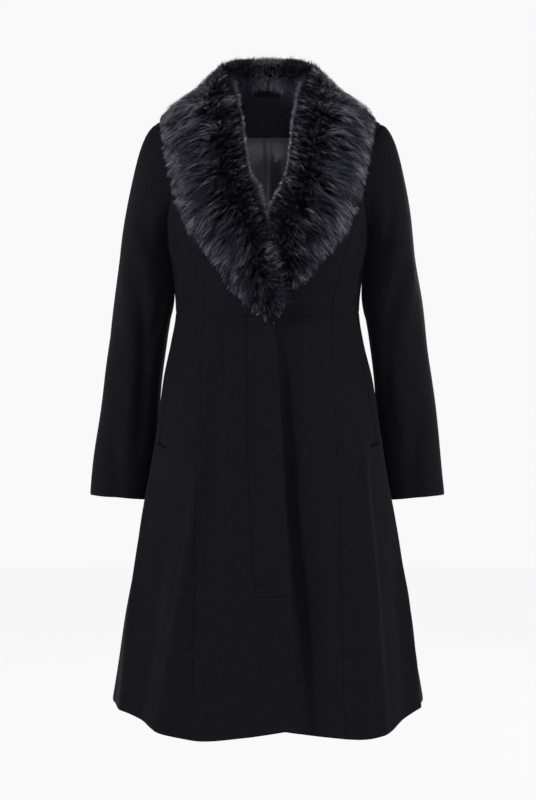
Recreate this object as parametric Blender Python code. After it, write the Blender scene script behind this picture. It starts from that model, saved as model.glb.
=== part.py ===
"""A-line coat with a fur shawl collar, in the hollow form that it has when it is worn.

Metres, +Z up. The front faces -Y and the wearer's left is +X. The origin lies between the neck
ends of the two shoulder seams. The body of the coat is one smooth surface, read by an angle
round the body (0 at the centre front, 90 at the wearer's left, 180 at the centre back) and by a
height. Every panel is a patch of that surface between its seams.
"""
import math
from collections import namedtuple

import bmesh
import bpy
import numpy as np

# Walls and clearances
WOOL = 0.0020            # coat cloth
FACING_WALL = 0.0015
SATIN_WALL = 0.0010
PLACKET_WALL = 0.0010
TAPE_WALL = 0.0010
SEAM_GAP = 0.0003        # between two pieces that are sewn edge to edge
LAY_GAP = 0.0005         # between two pieces that lie on each other
LAP_DROP = WOOL + PLACKET_WALL + 2 * LAY_GAP   # how far the left front lies under the right

# Heights
NAPE_RISE = 0.026        # the back of the neckline above its shoulder points
SHOULDER_Z = -0.044      # outer end of the shoulder seam
UNDERARM_Z = -0.236
WAIST_Z = -0.360         # waist seam at the sides
WAIST_DIP = 0.010        # how much lower the waist seam is at the front
PRINCESS_TOP_STEP = 4    # armhole row, from the underarm, where the princess seam ends

# Armholes, as half angles round the body
ARMHOLE_FRONT = math.radians(30)
ARMHOLE_BACK = math.radians(32)
ARMHOLE_STEPS = 10       # rows from the underarm to the shoulder
PRINCESS_TIP = math.radians(0.6)   # width left at the top of a side front

# Level sections of the coat's body: half width, depth before and behind the middle, the place of
# the middle, and how square the section is
Section = namedtuple("Section", "z half_width front back middle_y square")
SECTIONS = (
    Section(-1.060, 0.2675, 0.198, 0.212, -0.010, 0.00),
    Section(-0.880, 0.2385, 0.176, 0.186, -0.011, 0.00),
    Section(-0.680, 0.2050, 0.150, 0.155, -0.012, 0.00),
    Section(-0.474, 0.1740, 0.122, 0.122, -0.010, 0.01),
    Section(-0.410, 0.1612, 0.113, 0.108, -0.006, 0.02),
    Section(-0.360, 0.1546, 0.108, 0.100, -0.002, 0.03),
    Section(-0.300, 0.1600, 0.122, 0.106, 0.000, 0.04),
    Section(-0.240, 0.1690, 0.134, 0.112, 0.000, 0.05),
    Section(-0.200, 0.1750, 0.130, 0.114, 0.000, 0.05),
    Section(-0.140, 0.1800, 0.112, 0.110, 0.000, 0.04),
    Section(-0.080, 0.1860, 0.086, 0.099, 0.000, 0.02),
    Section(-0.044, 0.1880, 0.070, 0.088, 0.000, 0.01),
    Section(-0.030, 0.1510, 0.064, 0.081, 0.000, 0.00),
    Section(-0.012, 0.1040, 0.058, 0.073, 0.000, 0.00),
    Section(0.000, 0.0720, 0.055, 0.067, 0.000, 0.00),
    Section(0.030, 0.0600, 0.050, 0.061, 0.000, 0.00),
)

# Hem height round one half of the coat
HemPoint = namedtuple("HemPoint", "degrees z")
HEM = (
    HemPoint(0, -1.031),
    HemPoint(15, -1.041),
    HemPoint(30, -1.048),
    HemPoint(42, -1.042),
    HemPoint(55, -1.024),
    HemPoint(68, -1.012),
    HemPoint(90, -1.008),
    HemPoint(135, -1.018),
    HemPoint(180, -1.022),
)

# Soft flutes of the skirt: the angle where each starts and where it meets the hem
Flute = namedtuple("Flute", "top_degrees hem_degrees half_width_degrees height")
FLUTES = (
    Flute(36, 40, 15, 0.0075),
    Flute(80, 66, 14, 0.0070),
    Flute(-33, -42, 15, 0.0070),
    Flute(-82, -65, 14, 0.0075),
    Flute(112, 114, 14, 0.0080),
    Flute(136, 139, 14, 0.0095),
    Flute(166, 163, 14, 0.0085),
    Flute(-110, -112, 14, 0.0085),
    Flute(-138, -137, 14, 0.0090),
    Flute(-162, -164, 14, 0.0080),
)
FLUTE_TOP_Z = -0.45
FLUTE_HEM_Z = -1.05
FLUTE_GROWTH = 1.2

# Seams seen from the front, as distances from the middle
EdgePoint = namedtuple("EdgePoint", "z right_edge left_edge")
FRONT_EDGES = (
    EdgePoint(-1.060, 0.0535, -0.0015),
    EdgePoint(-0.720, 0.0325, -0.0225),
    EdgePoint(-0.360, 0.0112, -0.0438),
    EdgePoint(-0.300, 0.0060, -0.0350),
    EdgePoint(-0.250, -0.0030, -0.0150),
    EdgePoint(-0.2135, -0.0135, 0.0135),
    EdgePoint(-0.150, -0.0360, 0.0360),
    EdgePoint(-0.100, -0.0460, 0.0460),
    EdgePoint(-0.049, -0.0560, 0.0560),
    EdgePoint(0.000, -0.0690, 0.0690),
)
LAP_EASE = 0.035         # the left front comes back up to the surface over this width
LAP_MARGIN = 0.010

PrincessPoint = namedtuple("PrincessPoint", "z x")
PRINCESS_SEAM = (
    PrincessPoint(-1.060, 0.1225),
    PrincessPoint(-0.860, 0.1165),
    PrincessPoint(-0.640, 0.1120),
    PrincessPoint(-0.400, 0.1040),
    PrincessPoint(-0.360, 0.1035),
    PrincessPoint(-0.300, 0.1170),
    PrincessPoint(-0.220, 0.1400),
    PrincessPoint(-0.170, 0.1530),
)

# Columns and rows of the panels
FRONT_COLUMNS = 9
SIDE_COLUMNS = 4
BACK_COLUMNS = 24
WAIST_ROWS = 5           # from the waist seam to the underarm
SHOULDER_ROWS = 4        # from the shoulder point to the neckline
NECKLINE_EASE = 1.6      # how much closer these rows get at the neckline
SKIRT_ROWS = 15
SKIRT_FRONT_COLUMNS = 7
SKIRT_SIDE_COLUMNS = 7
SKIRT_BACK_COLUMNS = 24

# Sleeve rings seen from the front: where the arm side and the outer side are, and the depth
SleeveRing = namedtuple("SleeveRing", "z inner outer middle_y half_depth")
SLEEVE_RINGS = (
    SleeveRing(-0.265, 0.1675, 0.2475, 0.008, 0.070),
    SleeveRing(-0.335, 0.1608, 0.2573, 0.011, 0.065),
    SleeveRing(-0.400, 0.1695, 0.2655, 0.015, 0.061),
    SleeveRing(-0.474, 0.1790, 0.2764, 0.022, 0.057),
    SleeveRing(-0.575, 0.1885, 0.2900, 0.032, 0.051),
    SleeveRing(-0.672, 0.1985, 0.3015, 0.044, 0.045),
)
CUFF_TILT = math.radians(5)
SLEEVE_HEAD_ROWS = 6
SLEEVE_ARM_ROWS = 11
HEAD_START = np.array((0.80, 0.0, -0.42))    # way that the sleeve leaves the armhole
HEAD_END = np.array((0.10, 0.0, -0.99))      # way that it goes on down the arm
HEAD_START_PULL = 0.55
HEAD_END_PULL = 1.00

# Fur collar: where its inner and outer edges lie on the coat, from the nape to its end. The
# stand is its height at the inner edge, the pile its height in the middle, the crown how much
# higher the roll between them is, the lip how far the fur overhangs the inner edge, and the lean
# how far the stand turns from the cloth to upright
CollarRow = namedtuple("CollarRow", "inner_deg inner_z outer_deg outer_z stand pile crown lip lean")
COLLAR_ROUND = (
    CollarRow(180, 0.0275, 180, -0.112, 0.050, 0.034, 0.016, 0.020, 1.00),
    CollarRow(150, 0.0240, 155, -0.107, 0.050, 0.034, 0.014, 0.020, 0.90),
    CollarRow(118, 0.0135, 128, -0.082, 0.050, 0.034, 0.008, 0.020, 0.80),
    CollarRow(104, 0.0075, 117, -0.044, 0.049, 0.029, 0.005, 0.021, 0.75),
    CollarRow(94, 0.0035, 105, -0.037, 0.048, 0.026, 0.003, 0.021, 0.70),
    CollarRow(82, -0.0005, 90, -0.036, 0.047, 0.026, 0.002, 0.021, 0.60),
    CollarRow(58, -0.0060, 74, -0.040, 0.047, 0.029, 0.002, 0.020, 0.35),
    CollarRow(36, -0.0140, 67, -0.053, 0.046, 0.033, 0.002, 0.018, 0.10),
    CollarRow(23, -0.0300, 64, -0.066, 0.044, 0.033, 0.002, 0.016, 0.00),
    CollarRow(16.5, -0.0490, 61, -0.085, 0.041, 0.033, 0.002, 0.014, 0.00),
    CollarRow(14, -0.1000, 56, -0.135, 0.038, 0.033, 0.002, 0.013, 0.00),
    CollarRow(12, -0.1500, 48.5, -0.195, 0.035, 0.032, 0.002, 0.012, 0.00),
)
COLLAR_RIGHT_END = (
    CollarRow(9.0, -0.1840, 41.5, -0.238, 0.034, 0.032, 0.002, 0.012, 0.0),
    CollarRow(5.0, -0.2150, 33.0, -0.268, 0.033, 0.031, 0.002, 0.013, 0.0),
    CollarRow(-1.6, -0.2765, 21.0, -0.322, 0.032, 0.030, 0.002, 0.012, 0.0),
    CollarRow(-7.0, -0.3350, 10.0, -0.352, 0.028, 0.026, 0.001, 0.010, 0.0),
    CollarRow(-5.0, -0.3640, 1.0, -0.370, 0.018, 0.016, 0.000, 0.006, 0.0),
)
COLLAR_LEFT_END = (
    CollarRow(8.0, -0.1840, 41.5, -0.238, 0.034, 0.032, 0.002, 0.012, 0.0),
    CollarRow(3.6, -0.2150, 33.0, -0.268, 0.031, 0.030, 0.002, 0.009, 0.0),
    CollarRow(5.8, -0.2650, 23.0, -0.304, 0.028, 0.026, 0.001, 0.001, 0.0),
    CollarRow(9.0, -0.3000, 15.0, -0.322, 0.022, 0.020, 0.000, 0.001, 0.0),
)
COLLAR_STATIONS = 42
COLLAR_FOOT_LIFT = 0.0008     # above the cloth at the seam
COLLAR_LIFT = 0.22            # above the cloth elsewhere, as a share of the pile
COLLAR_RIM = 0.006            # fur past the outer edge of the skin
COLLAR_RIM_HEIGHT = 0.25      # of the pile
COLLAR_FALL = 1.5             # how the pile thins out to the rim
COLLAR_ROLL = 0.45            # share of the width over which the stand sinks to the pile
COLLAR_CROWN = 0.50           # share of the width that the crown takes up
COLLAR_TOP = (0.06, 0.15, 0.26, 0.38, 0.52, 0.67, 0.82, 0.94)     # places across the top
COLLAR_UNDER = (1.0, 0.86, 0.7, 0.52, 0.34, 0.17)                   # and across the underside
LipPoint = namedtuple("LipPoint", "out up")
COLLAR_LIP = (LipPoint(0.75, 0.20), LipPoint(1.00, 0.50), LipPoint(0.80, 0.80), LipPoint(0.35, 0.98))

# Inside of the neck, as rows and columns of the back panel that the pieces lie on
NECK_SIDE_COLUMNS = 6    # columns of the back that stay bare on each side
FACING_FOOT_ROW = 13.6   # between two rows, where the facing meets the lining
LOOP_SIDE_COLUMNS = 9
LOOP_FOOT_ROW = 17.66
LOOP_TOP_ROW = 18.63

# Fly, pockets and hook
PLACKET_WIDTH = 0.055
PLACKET_INSET = 0.003
PLACKET_TOP_Z = -0.378
PLACKET_FOOT_Z = -0.815
PLACKET_COLUMNS = 4
PLACKET_ROWS = 14
WeltEnd = namedtuple("WeltEnd", "degrees z")
WELT_TOP = WeltEnd(67.5, -0.437)
WELT_FOOT = WeltEnd(73.0, -0.583)
WELT_WIDTH = math.radians(2.6)
WELT_WALL = 0.0012
WELT_COLUMNS = 2
WELT_ROWS = 6
HOOK_X = 0.006
HOOK_Z = -0.381
HOOK_RING = 0.0042       # to the middle of the wire
HOOK_WIRE = 0.0010       # radius
HOOK_STEPS = 18
HOOK_ROUNDNESS = 2
HOOK_TURN = math.radians(300)

# How finely the surface is read
NORMAL_STEP = 0.0005     # reach of the differences that give the cloth's normals, upwards
NORMAL_TURN = 0.005      # and round the body
ANGLE_PASSES = 8         # passes that find the angle at a distance from the middle
SHARP_EDGE = math.radians(50)

Finish = namedtuple("Finish", "colour roughness metallic")
WOOL_FINISH = Finish((0.0087, 0.0082, 0.0120), 0.92, 0.0)
FUR_FINISH = Finish((0.0130, 0.0130, 0.0190), 0.70, 0.0)
SATIN_FINISH = Finish((0.0270, 0.0260, 0.0330), 0.42, 0.0)
TAPE_FINISH = Finish((0.0060, 0.0060, 0.0080), 0.60, 0.0)
METAL_FINISH = Finish((0.5500, 0.5500, 0.5700), 0.28, 1.0)


def column(rows, name):
    """One named column of a table, as an array."""
    return np.array([getattr(row, name) for row in rows], float)


def curve_through(xs, ys, at):
    """The smooth curve through the points (xs, ys), with no overshoot, read at the places at."""
    step = np.diff(xs)
    slope = np.diff(ys) / step
    tangent = np.zeros(len(ys))
    tangent[0], tangent[-1] = slope[0], slope[-1]
    for i in range(1, len(ys) - 1):
        if slope[i - 1] * slope[i] > 0:
            tangent[i] = 2 * slope[i - 1] * slope[i] / (slope[i - 1] + slope[i])
    at = np.clip(at, xs[0], xs[-1])
    i = np.clip(np.searchsorted(xs, at) - 1, 0, len(step) - 1)
    t = (at - xs[i]) / step[i]
    start = (1 + 2 * t) * (1 - t) ** 2 * ys[i] + t * (1 - t) ** 2 * step[i] * tangent[i]
    end = t * t * (3 - 2 * t) * ys[i + 1] - t * t * (1 - t) * step[i] * tangent[i + 1]
    return start + end


def read_table(rows, key, name, at):
    """One column of a table along its key column, as a smooth curve read at the places at."""
    return curve_through(column(rows, key), column(rows, name), at)


def soft_step(t):
    """0 to 1 with level ends, as t goes from 0 to 1."""
    t = np.clip(t, 0, 1)
    return t * t * (3 - 2 * t)


def unit(vectors):
    """Vectors of length 1."""
    return vectors / np.linalg.norm(vectors, axis=-1, keepdims=True)


def flute_height(angle, z):
    """How far the skirt's flutes stand out at each angle and height."""
    grown = np.clip((FLUTE_TOP_Z - z) / (FLUTE_TOP_Z - FLUTE_HEM_Z), 0, 1)
    total = np.zeros(np.shape(angle))
    for flute in FLUTES:
        middle = np.radians(flute.top_degrees + (flute.hem_degrees - flute.top_degrees) * grown)
        away = np.abs((angle - middle + math.pi) % math.tau - math.pi)
        share = np.clip(away / math.radians(flute.half_width_degrees), 0, 1)
        total += flute.height * grown ** FLUTE_GROWTH * np.cos(share * math.pi / 2) ** 2
    return total


def body(angle, z):
    """Points of the coat's outer surface."""
    half_width = read_table(SECTIONS, "z", "half_width", z)
    front = read_table(SECTIONS, "z", "front", z)
    back = read_table(SECTIONS, "z", "back", z)
    middle_y = read_table(SECTIONS, "z", "middle_y", z)
    square = read_table(SECTIONS, "z", "square", z)
    depth = np.where(np.cos(angle) > 0, front, back)
    grow = 1 + square * np.sin(2 * angle) ** 2
    x = half_width * np.sin(angle) * grow
    y = middle_y - depth * np.cos(angle) * grow
    outward = np.stack((np.sin(angle) / half_width, -np.cos(angle) / depth, 0 * z), axis=-1)
    return np.stack((x, y, z), axis=-1) + unit(outward) * flute_height(angle, z)[..., None]


def body_normal(angle, z):
    """Outward normals of the coat's outer surface."""
    across = body(angle + NORMAL_TURN, z) - body(angle - NORMAL_TURN, z)
    up = body(angle, z + NORMAL_STEP) - body(angle, z - NORMAL_STEP)
    return unit(np.cross(across, up))


def moved_out(angle, z, out):
    """Points at a distance outside the coat's surface, or inside it where out is negative."""
    return body(angle, z) + body_normal(angle, z) * np.asarray(out)[..., None]


def angle_at(x, z):
    """The angle on the front of the coat at a distance x from the middle."""
    half_width = read_table(SECTIONS, "z", "half_width", z)
    square = read_table(SECTIONS, "z", "square", z)
    angle = np.arcsin(np.clip(x / half_width, -1, 1))
    for _ in range(ANGLE_PASSES):
        grow = 1 + square * np.sin(2 * angle) ** 2
        angle = np.arcsin(np.clip(x / (half_width * grow), -1, 1))
    return angle


def neckline_z(angle):
    """Height of the neckline, which rises to the nape."""
    return NAPE_RISE * np.clip(-np.cos(angle), 0, 1)


def waist_z(angle):
    """Height of the waist seam, which dips at the front."""
    return WAIST_Z - WAIST_DIP * np.clip(np.cos(angle), 0, 1)


def hem_z(angle):
    """Height of the hem."""
    degrees = np.degrees(np.abs((angle + math.pi) % math.tau - math.pi))
    return read_table(HEM, "degrees", "z", degrees)


def right_edge(z):
    """Angle of the right front's edge, which lies on top."""
    return angle_at(read_table(FRONT_EDGES, "z", "right_edge", z), z)


def left_edge(z):
    """Angle of the left front's edge, which lies underneath."""
    return angle_at(read_table(FRONT_EDGES, "z", "left_edge", z), z)


def princess(z):
    """Angle of the long seam on the wearer's left."""
    return angle_at(read_table(PRINCESS_SEAM, "z", "x", z), z)


def under_lap(angle, z):
    """How far the left front lies inside the surface, under the right front."""
    past = body(angle, z)[..., 0] - read_table(FRONT_EDGES, "z", "right_edge", z) - LAP_MARGIN
    return -LAP_DROP * (1 - soft_step(past / LAP_EASE))


def make_object(name, points, faces, finish):
    """One closed, outward facing mesh object with its own material."""
    mesh = bpy.data.meshes.new(name)
    mesh.from_pydata([tuple(map(float, p)) for p in points], [], [tuple(map(int, f)) for f in faces])
    edit = bmesh.new()
    edit.from_mesh(mesh)
    bmesh.ops.recalc_face_normals(edit, faces=edit.faces)
    edit.to_mesh(mesh)
    edit.free()
    mesh.shade_smooth()
    mesh.set_sharp_from_angle(angle=SHARP_EDGE)
    material = bpy.data.materials.new(name)
    material.use_nodes = True
    shader = material.node_tree.nodes["Principled BSDF"]
    shader.inputs["Base Color"].default_value = (*finish.colour, 1.0)
    shader.inputs["Roughness"].default_value = finish.roughness
    shader.inputs["Metallic"].default_value = finish.metallic
    mesh.materials.append(material)
    made = bpy.data.objects.new(name, mesh)
    bpy.context.scene.collection.objects.link(made)
    return made


def drawn_in(grid, closed=False):
    """A grid of points whose edges are drawn in by half a seam's gap."""
    grid = grid.copy()
    half = SEAM_GAP / 2
    grid[0] += unit(grid[1] - grid[0]) * half
    grid[-1] += unit(grid[-2] - grid[-1]) * half
    if not closed:
        grid[:, 0] += unit(grid[:, 1] - grid[:, 0]) * half
        grid[:, -1] += unit(grid[:, -2] - grid[:, -1]) * half
    return grid


def make_wall(name, outer, inner, finish, closed=False):
    """A wall of cloth between two grids of points. A closed one is a tube round its columns.

    Both faces split their squares along the same diagonal, so that layers stay parallel.
    """
    rows, columns = outer.shape[:2]
    index = np.arange(rows * columns).reshape(rows, columns)
    if closed:
        index = np.hstack((index, index[:, :1]))
    far = rows * columns
    faces = []
    for low, high in zip(index[:-1], index[1:]):
        for a, b, c, d in zip(low[:-1], low[1:], high[1:], high[:-1]):
            faces += [(a, b, c), (a, c, d)]
            faces += [(c + far, b + far, a + far), (d + far, c + far, a + far)]
    rim = [*zip(index[0, :-1], index[0, 1:]), *zip(index[-1, 1:], index[-1, :-1])]
    if not closed:
        rim += [*zip(index[:-1, -1], index[1:, -1]), *zip(index[1:, 0], index[:-1, 0])]
    faces += [(q, p, p + far, q + far) for p, q in rim]
    points = np.concatenate((outer.reshape(-1, 3), inner.reshape(-1, 3)))
    return make_object(name, points, faces, finish)


def make_panel(name, angle, z, wall, finish, out=0.0):
    """A panel from grids of angles and heights. Its outer face lies out from the coat's surface."""
    out = np.broadcast_to(out, np.shape(angle))
    outer = drawn_in(moved_out(angle, z, out))
    inner = drawn_in(moved_out(angle, z, out - wall))
    return make_wall(name, outer, inner, finish)


def spread(start, end, columns):
    """Rows of values that go evenly from each start to each end."""
    share = np.linspace(0, 1, columns + 1)
    return np.asarray(start)[:, None] * (1 - share) + np.asarray(end)[:, None] * share


def armhole_rows():
    """Heights of the rows beside the armhole, and how wide it is there, from 0 to 1."""
    turn = np.linspace(math.pi, 0, ARMHOLE_STEPS + 1)
    middle = (SHOULDER_Z + UNDERARM_Z) / 2
    return middle + (SHOULDER_Z - UNDERARM_Z) / 2 * np.cos(turn), np.sin(turn)


def shoulder_shares():
    """How far up each row between the shoulder point and the neckline lies, from 0 to 1."""
    return 1 - (1 - np.arange(1, SHOULDER_ROWS + 1) / SHOULDER_ROWS) ** NECKLINE_EASE


def bodice_heights(angle, rows_up):
    """Heights of a bodice panel's points, row by row, from the waist seam up."""
    hole_z, _ = armhole_rows()
    shares = shoulder_shares()
    z = np.empty(angle.shape)
    for row in range(len(angle)):
        if row < WAIST_ROWS:
            share = row / WAIST_ROWS
            z[row] = waist_z(angle[row]) * (1 - share) + UNDERARM_Z * share
        elif row <= WAIST_ROWS + ARMHOLE_STEPS:
            z[row] = hole_z[row - WAIST_ROWS]
        else:
            share = shares[row - WAIST_ROWS - ARMHOLE_STEPS - 1]
            z[row] = SHOULDER_Z * (1 - share) + rows_up(angle[row]) * share
    return z


def bodice_guide_heights():
    """Heights of the bodice's rows where no seam dips or rises."""
    hole_z, hole_width = armhole_rows()
    low = WAIST_Z + (UNDERARM_Z - WAIST_Z) * np.arange(WAIST_ROWS) / WAIST_ROWS
    high = SHOULDER_Z * (1 - shoulder_shares())
    width = np.concatenate((0 * low, hole_width, 0 * high))
    return np.concatenate((low, hole_z, high)), width


def back_grid():
    """Angles and heights of the bodice back, from the waist seam to the neckline."""
    _, hole = bodice_guide_heights()
    side = math.pi / 2 + ARMHOLE_BACK * hole
    angle = spread(side, math.tau - side, BACK_COLUMNS)
    return angle, bodice_heights(angle, neckline_z)


def make_bodice():
    """The five panels above the waist seam."""
    z, hole = bodice_guide_heights()
    level = np.zeros_like
    side = math.pi / 2 - ARMHOLE_FRONT * hole
    top = WAIST_ROWS + PRINCESS_TOP_STEP
    seam = side.copy()
    seam[:top] = princess(z[:top])
    seam[top] = side[top] - PRINCESS_TIP

    angle = spread(left_edge(z), seam, FRONT_COLUMNS)
    heights = bodice_heights(angle, level)
    make_panel("bodice_front_left", angle, heights, WOOL, WOOL_FINISH, under_lap(angle, heights))
    angle = spread(-seam, right_edge(z), FRONT_COLUMNS)
    make_panel("bodice_front_right", angle, bodice_heights(angle, level), WOOL, WOOL_FINISH)

    angle = spread(seam[:top + 1], side[:top + 1], SIDE_COLUMNS)
    make_panel("bodice_side_left", angle, bodice_heights(angle, level), WOOL, WOOL_FINISH)
    angle = -angle[:, ::-1]
    make_panel("bodice_side_right", angle, bodice_heights(angle, level), WOOL, WOOL_FINISH)

    angle, heights = back_grid()
    make_panel("bodice_back", angle, heights, WOOL, WOOL_FINISH)


def skirt_panel(name, start, end, columns, lapped=False):
    """One panel of the skirt between two seams, each given as a function of the height."""
    share = np.linspace(0, 1, SKIRT_ROWS + 1)
    guide = hem_z(math.pi / 2) * (1 - share) + WAIST_Z * share
    angle = spread(start(guide), end(guide), columns)
    z = hem_z(angle) * (1 - share[:, None]) + waist_z(angle) * share[:, None]
    out = under_lap(angle, z) if lapped else 0.0
    make_panel(name, angle, z, WOOL, WOOL_FINISH, out)


def make_skirt():
    """The five panels below the waist seam."""
    def side_left(z):
        return np.full(len(z), math.pi / 2)

    def side_right(z):
        return -side_left(z)

    def past_back(z):
        return math.tau - side_left(z)

    def princess_right(z):
        return -princess(z)

    skirt_panel("skirt_front_left", left_edge, princess, SKIRT_FRONT_COLUMNS, lapped=True)
    skirt_panel("skirt_front_right", princess_right, right_edge, SKIRT_FRONT_COLUMNS)
    skirt_panel("skirt_side_left", princess, side_left, SKIRT_SIDE_COLUMNS)
    skirt_panel("skirt_side_right", side_right, princess_right, SKIRT_SIDE_COLUMNS)
    skirt_panel("skirt_back", side_left, past_back, SKIRT_BACK_COLUMNS)


def tube_normals(grid):
    """Outward normals of a tube of rings that run down an arm."""
    along = np.gradient(grid, axis=0)
    around = np.roll(grid, -1, axis=1) - np.roll(grid, 1, axis=1)
    normal = unit(np.cross(along, around))
    outward = grid - grid.mean(axis=1, keepdims=True)
    return normal * np.sign((normal * outward).sum(axis=-1).sum())


def sleeve_rings(z, turn):
    """Rings of the arm of the left sleeve at the heights z."""
    inner = read_table(SLEEVE_RINGS[::-1], "z", "inner", z)[:, None]
    outer = read_table(SLEEVE_RINGS[::-1], "z", "outer", z)[:, None]
    middle_y = read_table(SLEEVE_RINGS[::-1], "z", "middle_y", z)[:, None]
    depth = read_table(SLEEVE_RINGS[::-1], "z", "half_depth", z)[:, None]
    top, foot = SLEEVE_RINGS[0].z, SLEEVE_RINGS[-1].z
    tilt = CUFF_TILT * (top - z[:, None]) / (top - foot)
    reach = (outer - inner) / 2 * np.cos(turn)
    x = (inner + outer) / 2 + reach
    y = middle_y + depth * np.sin(turn)
    return np.stack((x, y, z[:, None] + np.tan(tilt) * reach), axis=-1)


def left_sleeve():
    """Outer and inner grids of the left sleeve, from the armhole to the cuff."""
    turn = np.arange(2 * ARMHOLE_STEPS) * math.pi / ARMHOLE_STEPS
    reach = np.where(np.sin(turn) > 0, ARMHOLE_BACK, ARMHOLE_FRONT)
    hole_z = (SHOULDER_Z + UNDERARM_Z) / 2 + (SHOULDER_Z - UNDERARM_Z) / 2 * np.cos(turn)
    hole = moved_out(math.pi / 2 + reach * np.sin(turn), hole_z, np.full(turn.shape, SEAM_GAP))
    arm_z = np.linspace(SLEEVE_RINGS[0].z, SLEEVE_RINGS[-1].z, SLEEVE_ARM_ROWS + 1)
    arm = sleeve_rings(arm_z, turn)
    length = np.linalg.norm(arm[0] - hole, axis=-1)[:, None]
    head = []
    for t in np.arange(SLEEVE_HEAD_ROWS) / SLEEVE_HEAD_ROWS:
        start = (1 + 2 * t) * (1 - t) ** 2 * hole + t * (1 - t) ** 2 * HEAD_START_PULL * length * HEAD_START
        end = t * t * (3 - 2 * t) * arm[0] - t * t * (1 - t) * HEAD_END_PULL * length * HEAD_END
        head.append(start + end)
    outer = np.concatenate((np.array(head), arm))
    return outer, outer - tube_normals(outer) * WOOL


def make_sleeves():
    """The two set-in sleeves."""
    outer, inner = left_sleeve()
    mirror = np.array((-1.0, 1.0, 1.0))
    make_wall("sleeve_left", outer, inner, WOOL_FINISH, closed=True)
    make_wall("sleeve_right", outer * mirror, inner * mirror, WOOL_FINISH, closed=True)


def collar_section(row, side):
    """The closed section of the fur collar at one row of its table, on one side of the coat."""
    share = np.array((0.0, *COLLAR_TOP, 1.0))
    angle = side * np.radians(row.inner_deg + (row.outer_deg - row.inner_deg) * share)
    z = row.inner_z + (row.outer_z - row.inner_z) * share
    base = body(angle, z)
    normal = body_normal(angle, z)
    tangent = unit(np.gradient(base, axis=0))
    upright = np.array((0.0, 0.0, 1.0))
    up = unit((1 - row.lean) * normal[0] + row.lean * upright)
    level = unit(normal[0] * np.array((1.0, 1.0, 0.0)))
    inward = -unit((1 - row.lean) * tangent[0] + row.lean * level)

    foot = base[0] + normal[0] * COLLAR_FOOT_LIFT
    lip = [base[0] + inward * row.lip * p.out + up * row.stand * p.up for p in COLLAR_LIP]
    rolled = soft_step(share / COLLAR_ROLL)[:, None]
    way = unit(up * (1 - rolled) + normal * rolled)
    fall = np.clip((share - COLLAR_ROLL) / (1 - COLLAR_ROLL), 0, 1)[:, None] ** COLLAR_FALL
    pile = row.pile * (1 - (1 - COLLAR_RIM_HEIGHT) * fall)
    crown = row.crown * np.sin(math.pi * np.clip(share / COLLAR_CROWN, 0, 1))[:, None]
    top = base + way * (row.stand * (1 - rolled) + pile * rolled + crown)
    rim = base[-1] + tangent[-1] * COLLAR_RIM + normal[-1] * row.pile * COLLAR_RIM_HEIGHT / 2

    share = np.array(COLLAR_UNDER)
    angle = side * np.radians(row.inner_deg + (row.outer_deg - row.inner_deg) * share)
    z = row.inner_z + (row.outer_z - row.inner_z) * share
    under = moved_out(angle, z, np.full(share.shape, row.pile * COLLAR_LIFT))
    return np.concatenate(([foot], lip, top[1:-1], [rim], under))


def make_collar_half(name, rows, side):
    """One half of the fur collar, from the nape to its end."""
    place = np.arange(len(rows), dtype=float)
    stations = np.linspace(0, len(rows) - 1, COLLAR_STATIONS)
    columns = [curve_through(place, column(rows, field), stations) for field in CollarRow._fields]
    rings = np.array([collar_section(CollarRow(*values), side) for values in zip(*columns)])
    rings[0, :, 0] = side * SEAM_GAP / 2
    count, around = rings.shape[:2]
    index = np.arange(count * around).reshape(count, around)
    faces = [tuple(index[0]), tuple(index[-1][::-1])]
    for near, far in zip(index[:-1], index[1:]):
        for i in range(around):
            j = (i + 1) % around
            faces.append((near[i], far[i], far[j], near[j]))
    make_object(name, rings.reshape(-1, 3), faces, FUR_FINISH)


def make_collar():
    """The fur shawl collar, whose right end lies over its left end."""
    make_collar_half("collar_right", COLLAR_ROUND + COLLAR_RIGHT_END, -1)
    make_collar_half("collar_left", COLLAR_ROUND + COLLAR_LEFT_END, 1)


def row_at(grid, place):
    """The row of a grid at a place between two of its rows."""
    low = int(place)
    return grid[low] * (low + 1 - place) + grid[low + 1] * (place - low)


def make_neck_layer(name, cut, depth, wall, finish):
    """A piece inside the neck, cut by a function from the back panel's points, moved in by a depth."""
    angle, z = back_grid()
    outer = cut(moved_out(angle, z, np.full(angle.shape, -depth)))
    inner = cut(moved_out(angle, z, np.full(angle.shape, -depth - wall)))
    make_wall(name, drawn_in(outer), drawn_in(inner), finish)


def make_neck_inside():
    """The back neck facing, the back lining below it and the hanger loop."""
    middle = slice(NECK_SIDE_COLUMNS, -NECK_SIDE_COLUMNS)
    loop = slice(LOOP_SIDE_COLUMNS, -LOOP_SIDE_COLUMNS)
    last_row = int(FACING_FOOT_ROW)

    def facing(grid):
        return np.concatenate(([row_at(grid, FACING_FOOT_ROW)], grid[last_row + 1:]))[:, middle]

    def lining(grid):
        return np.concatenate((grid[:last_row + 1], [row_at(grid, FACING_FOOT_ROW)]))[:, middle]

    def hanger(grid):
        return np.array((row_at(grid, LOOP_FOOT_ROW), row_at(grid, LOOP_TOP_ROW)))[:, loop]

    depth = WOOL + LAY_GAP
    make_neck_layer("back_neck_facing", facing, depth, FACING_WALL, WOOL_FINISH)
    make_neck_layer("lining_back", lining, depth, SATIN_WALL, SATIN_FINISH)
    depth += FACING_WALL + LAY_GAP
    make_neck_layer("hanger_loop", hanger, depth, TAPE_WALL, TAPE_FINISH)


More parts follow.
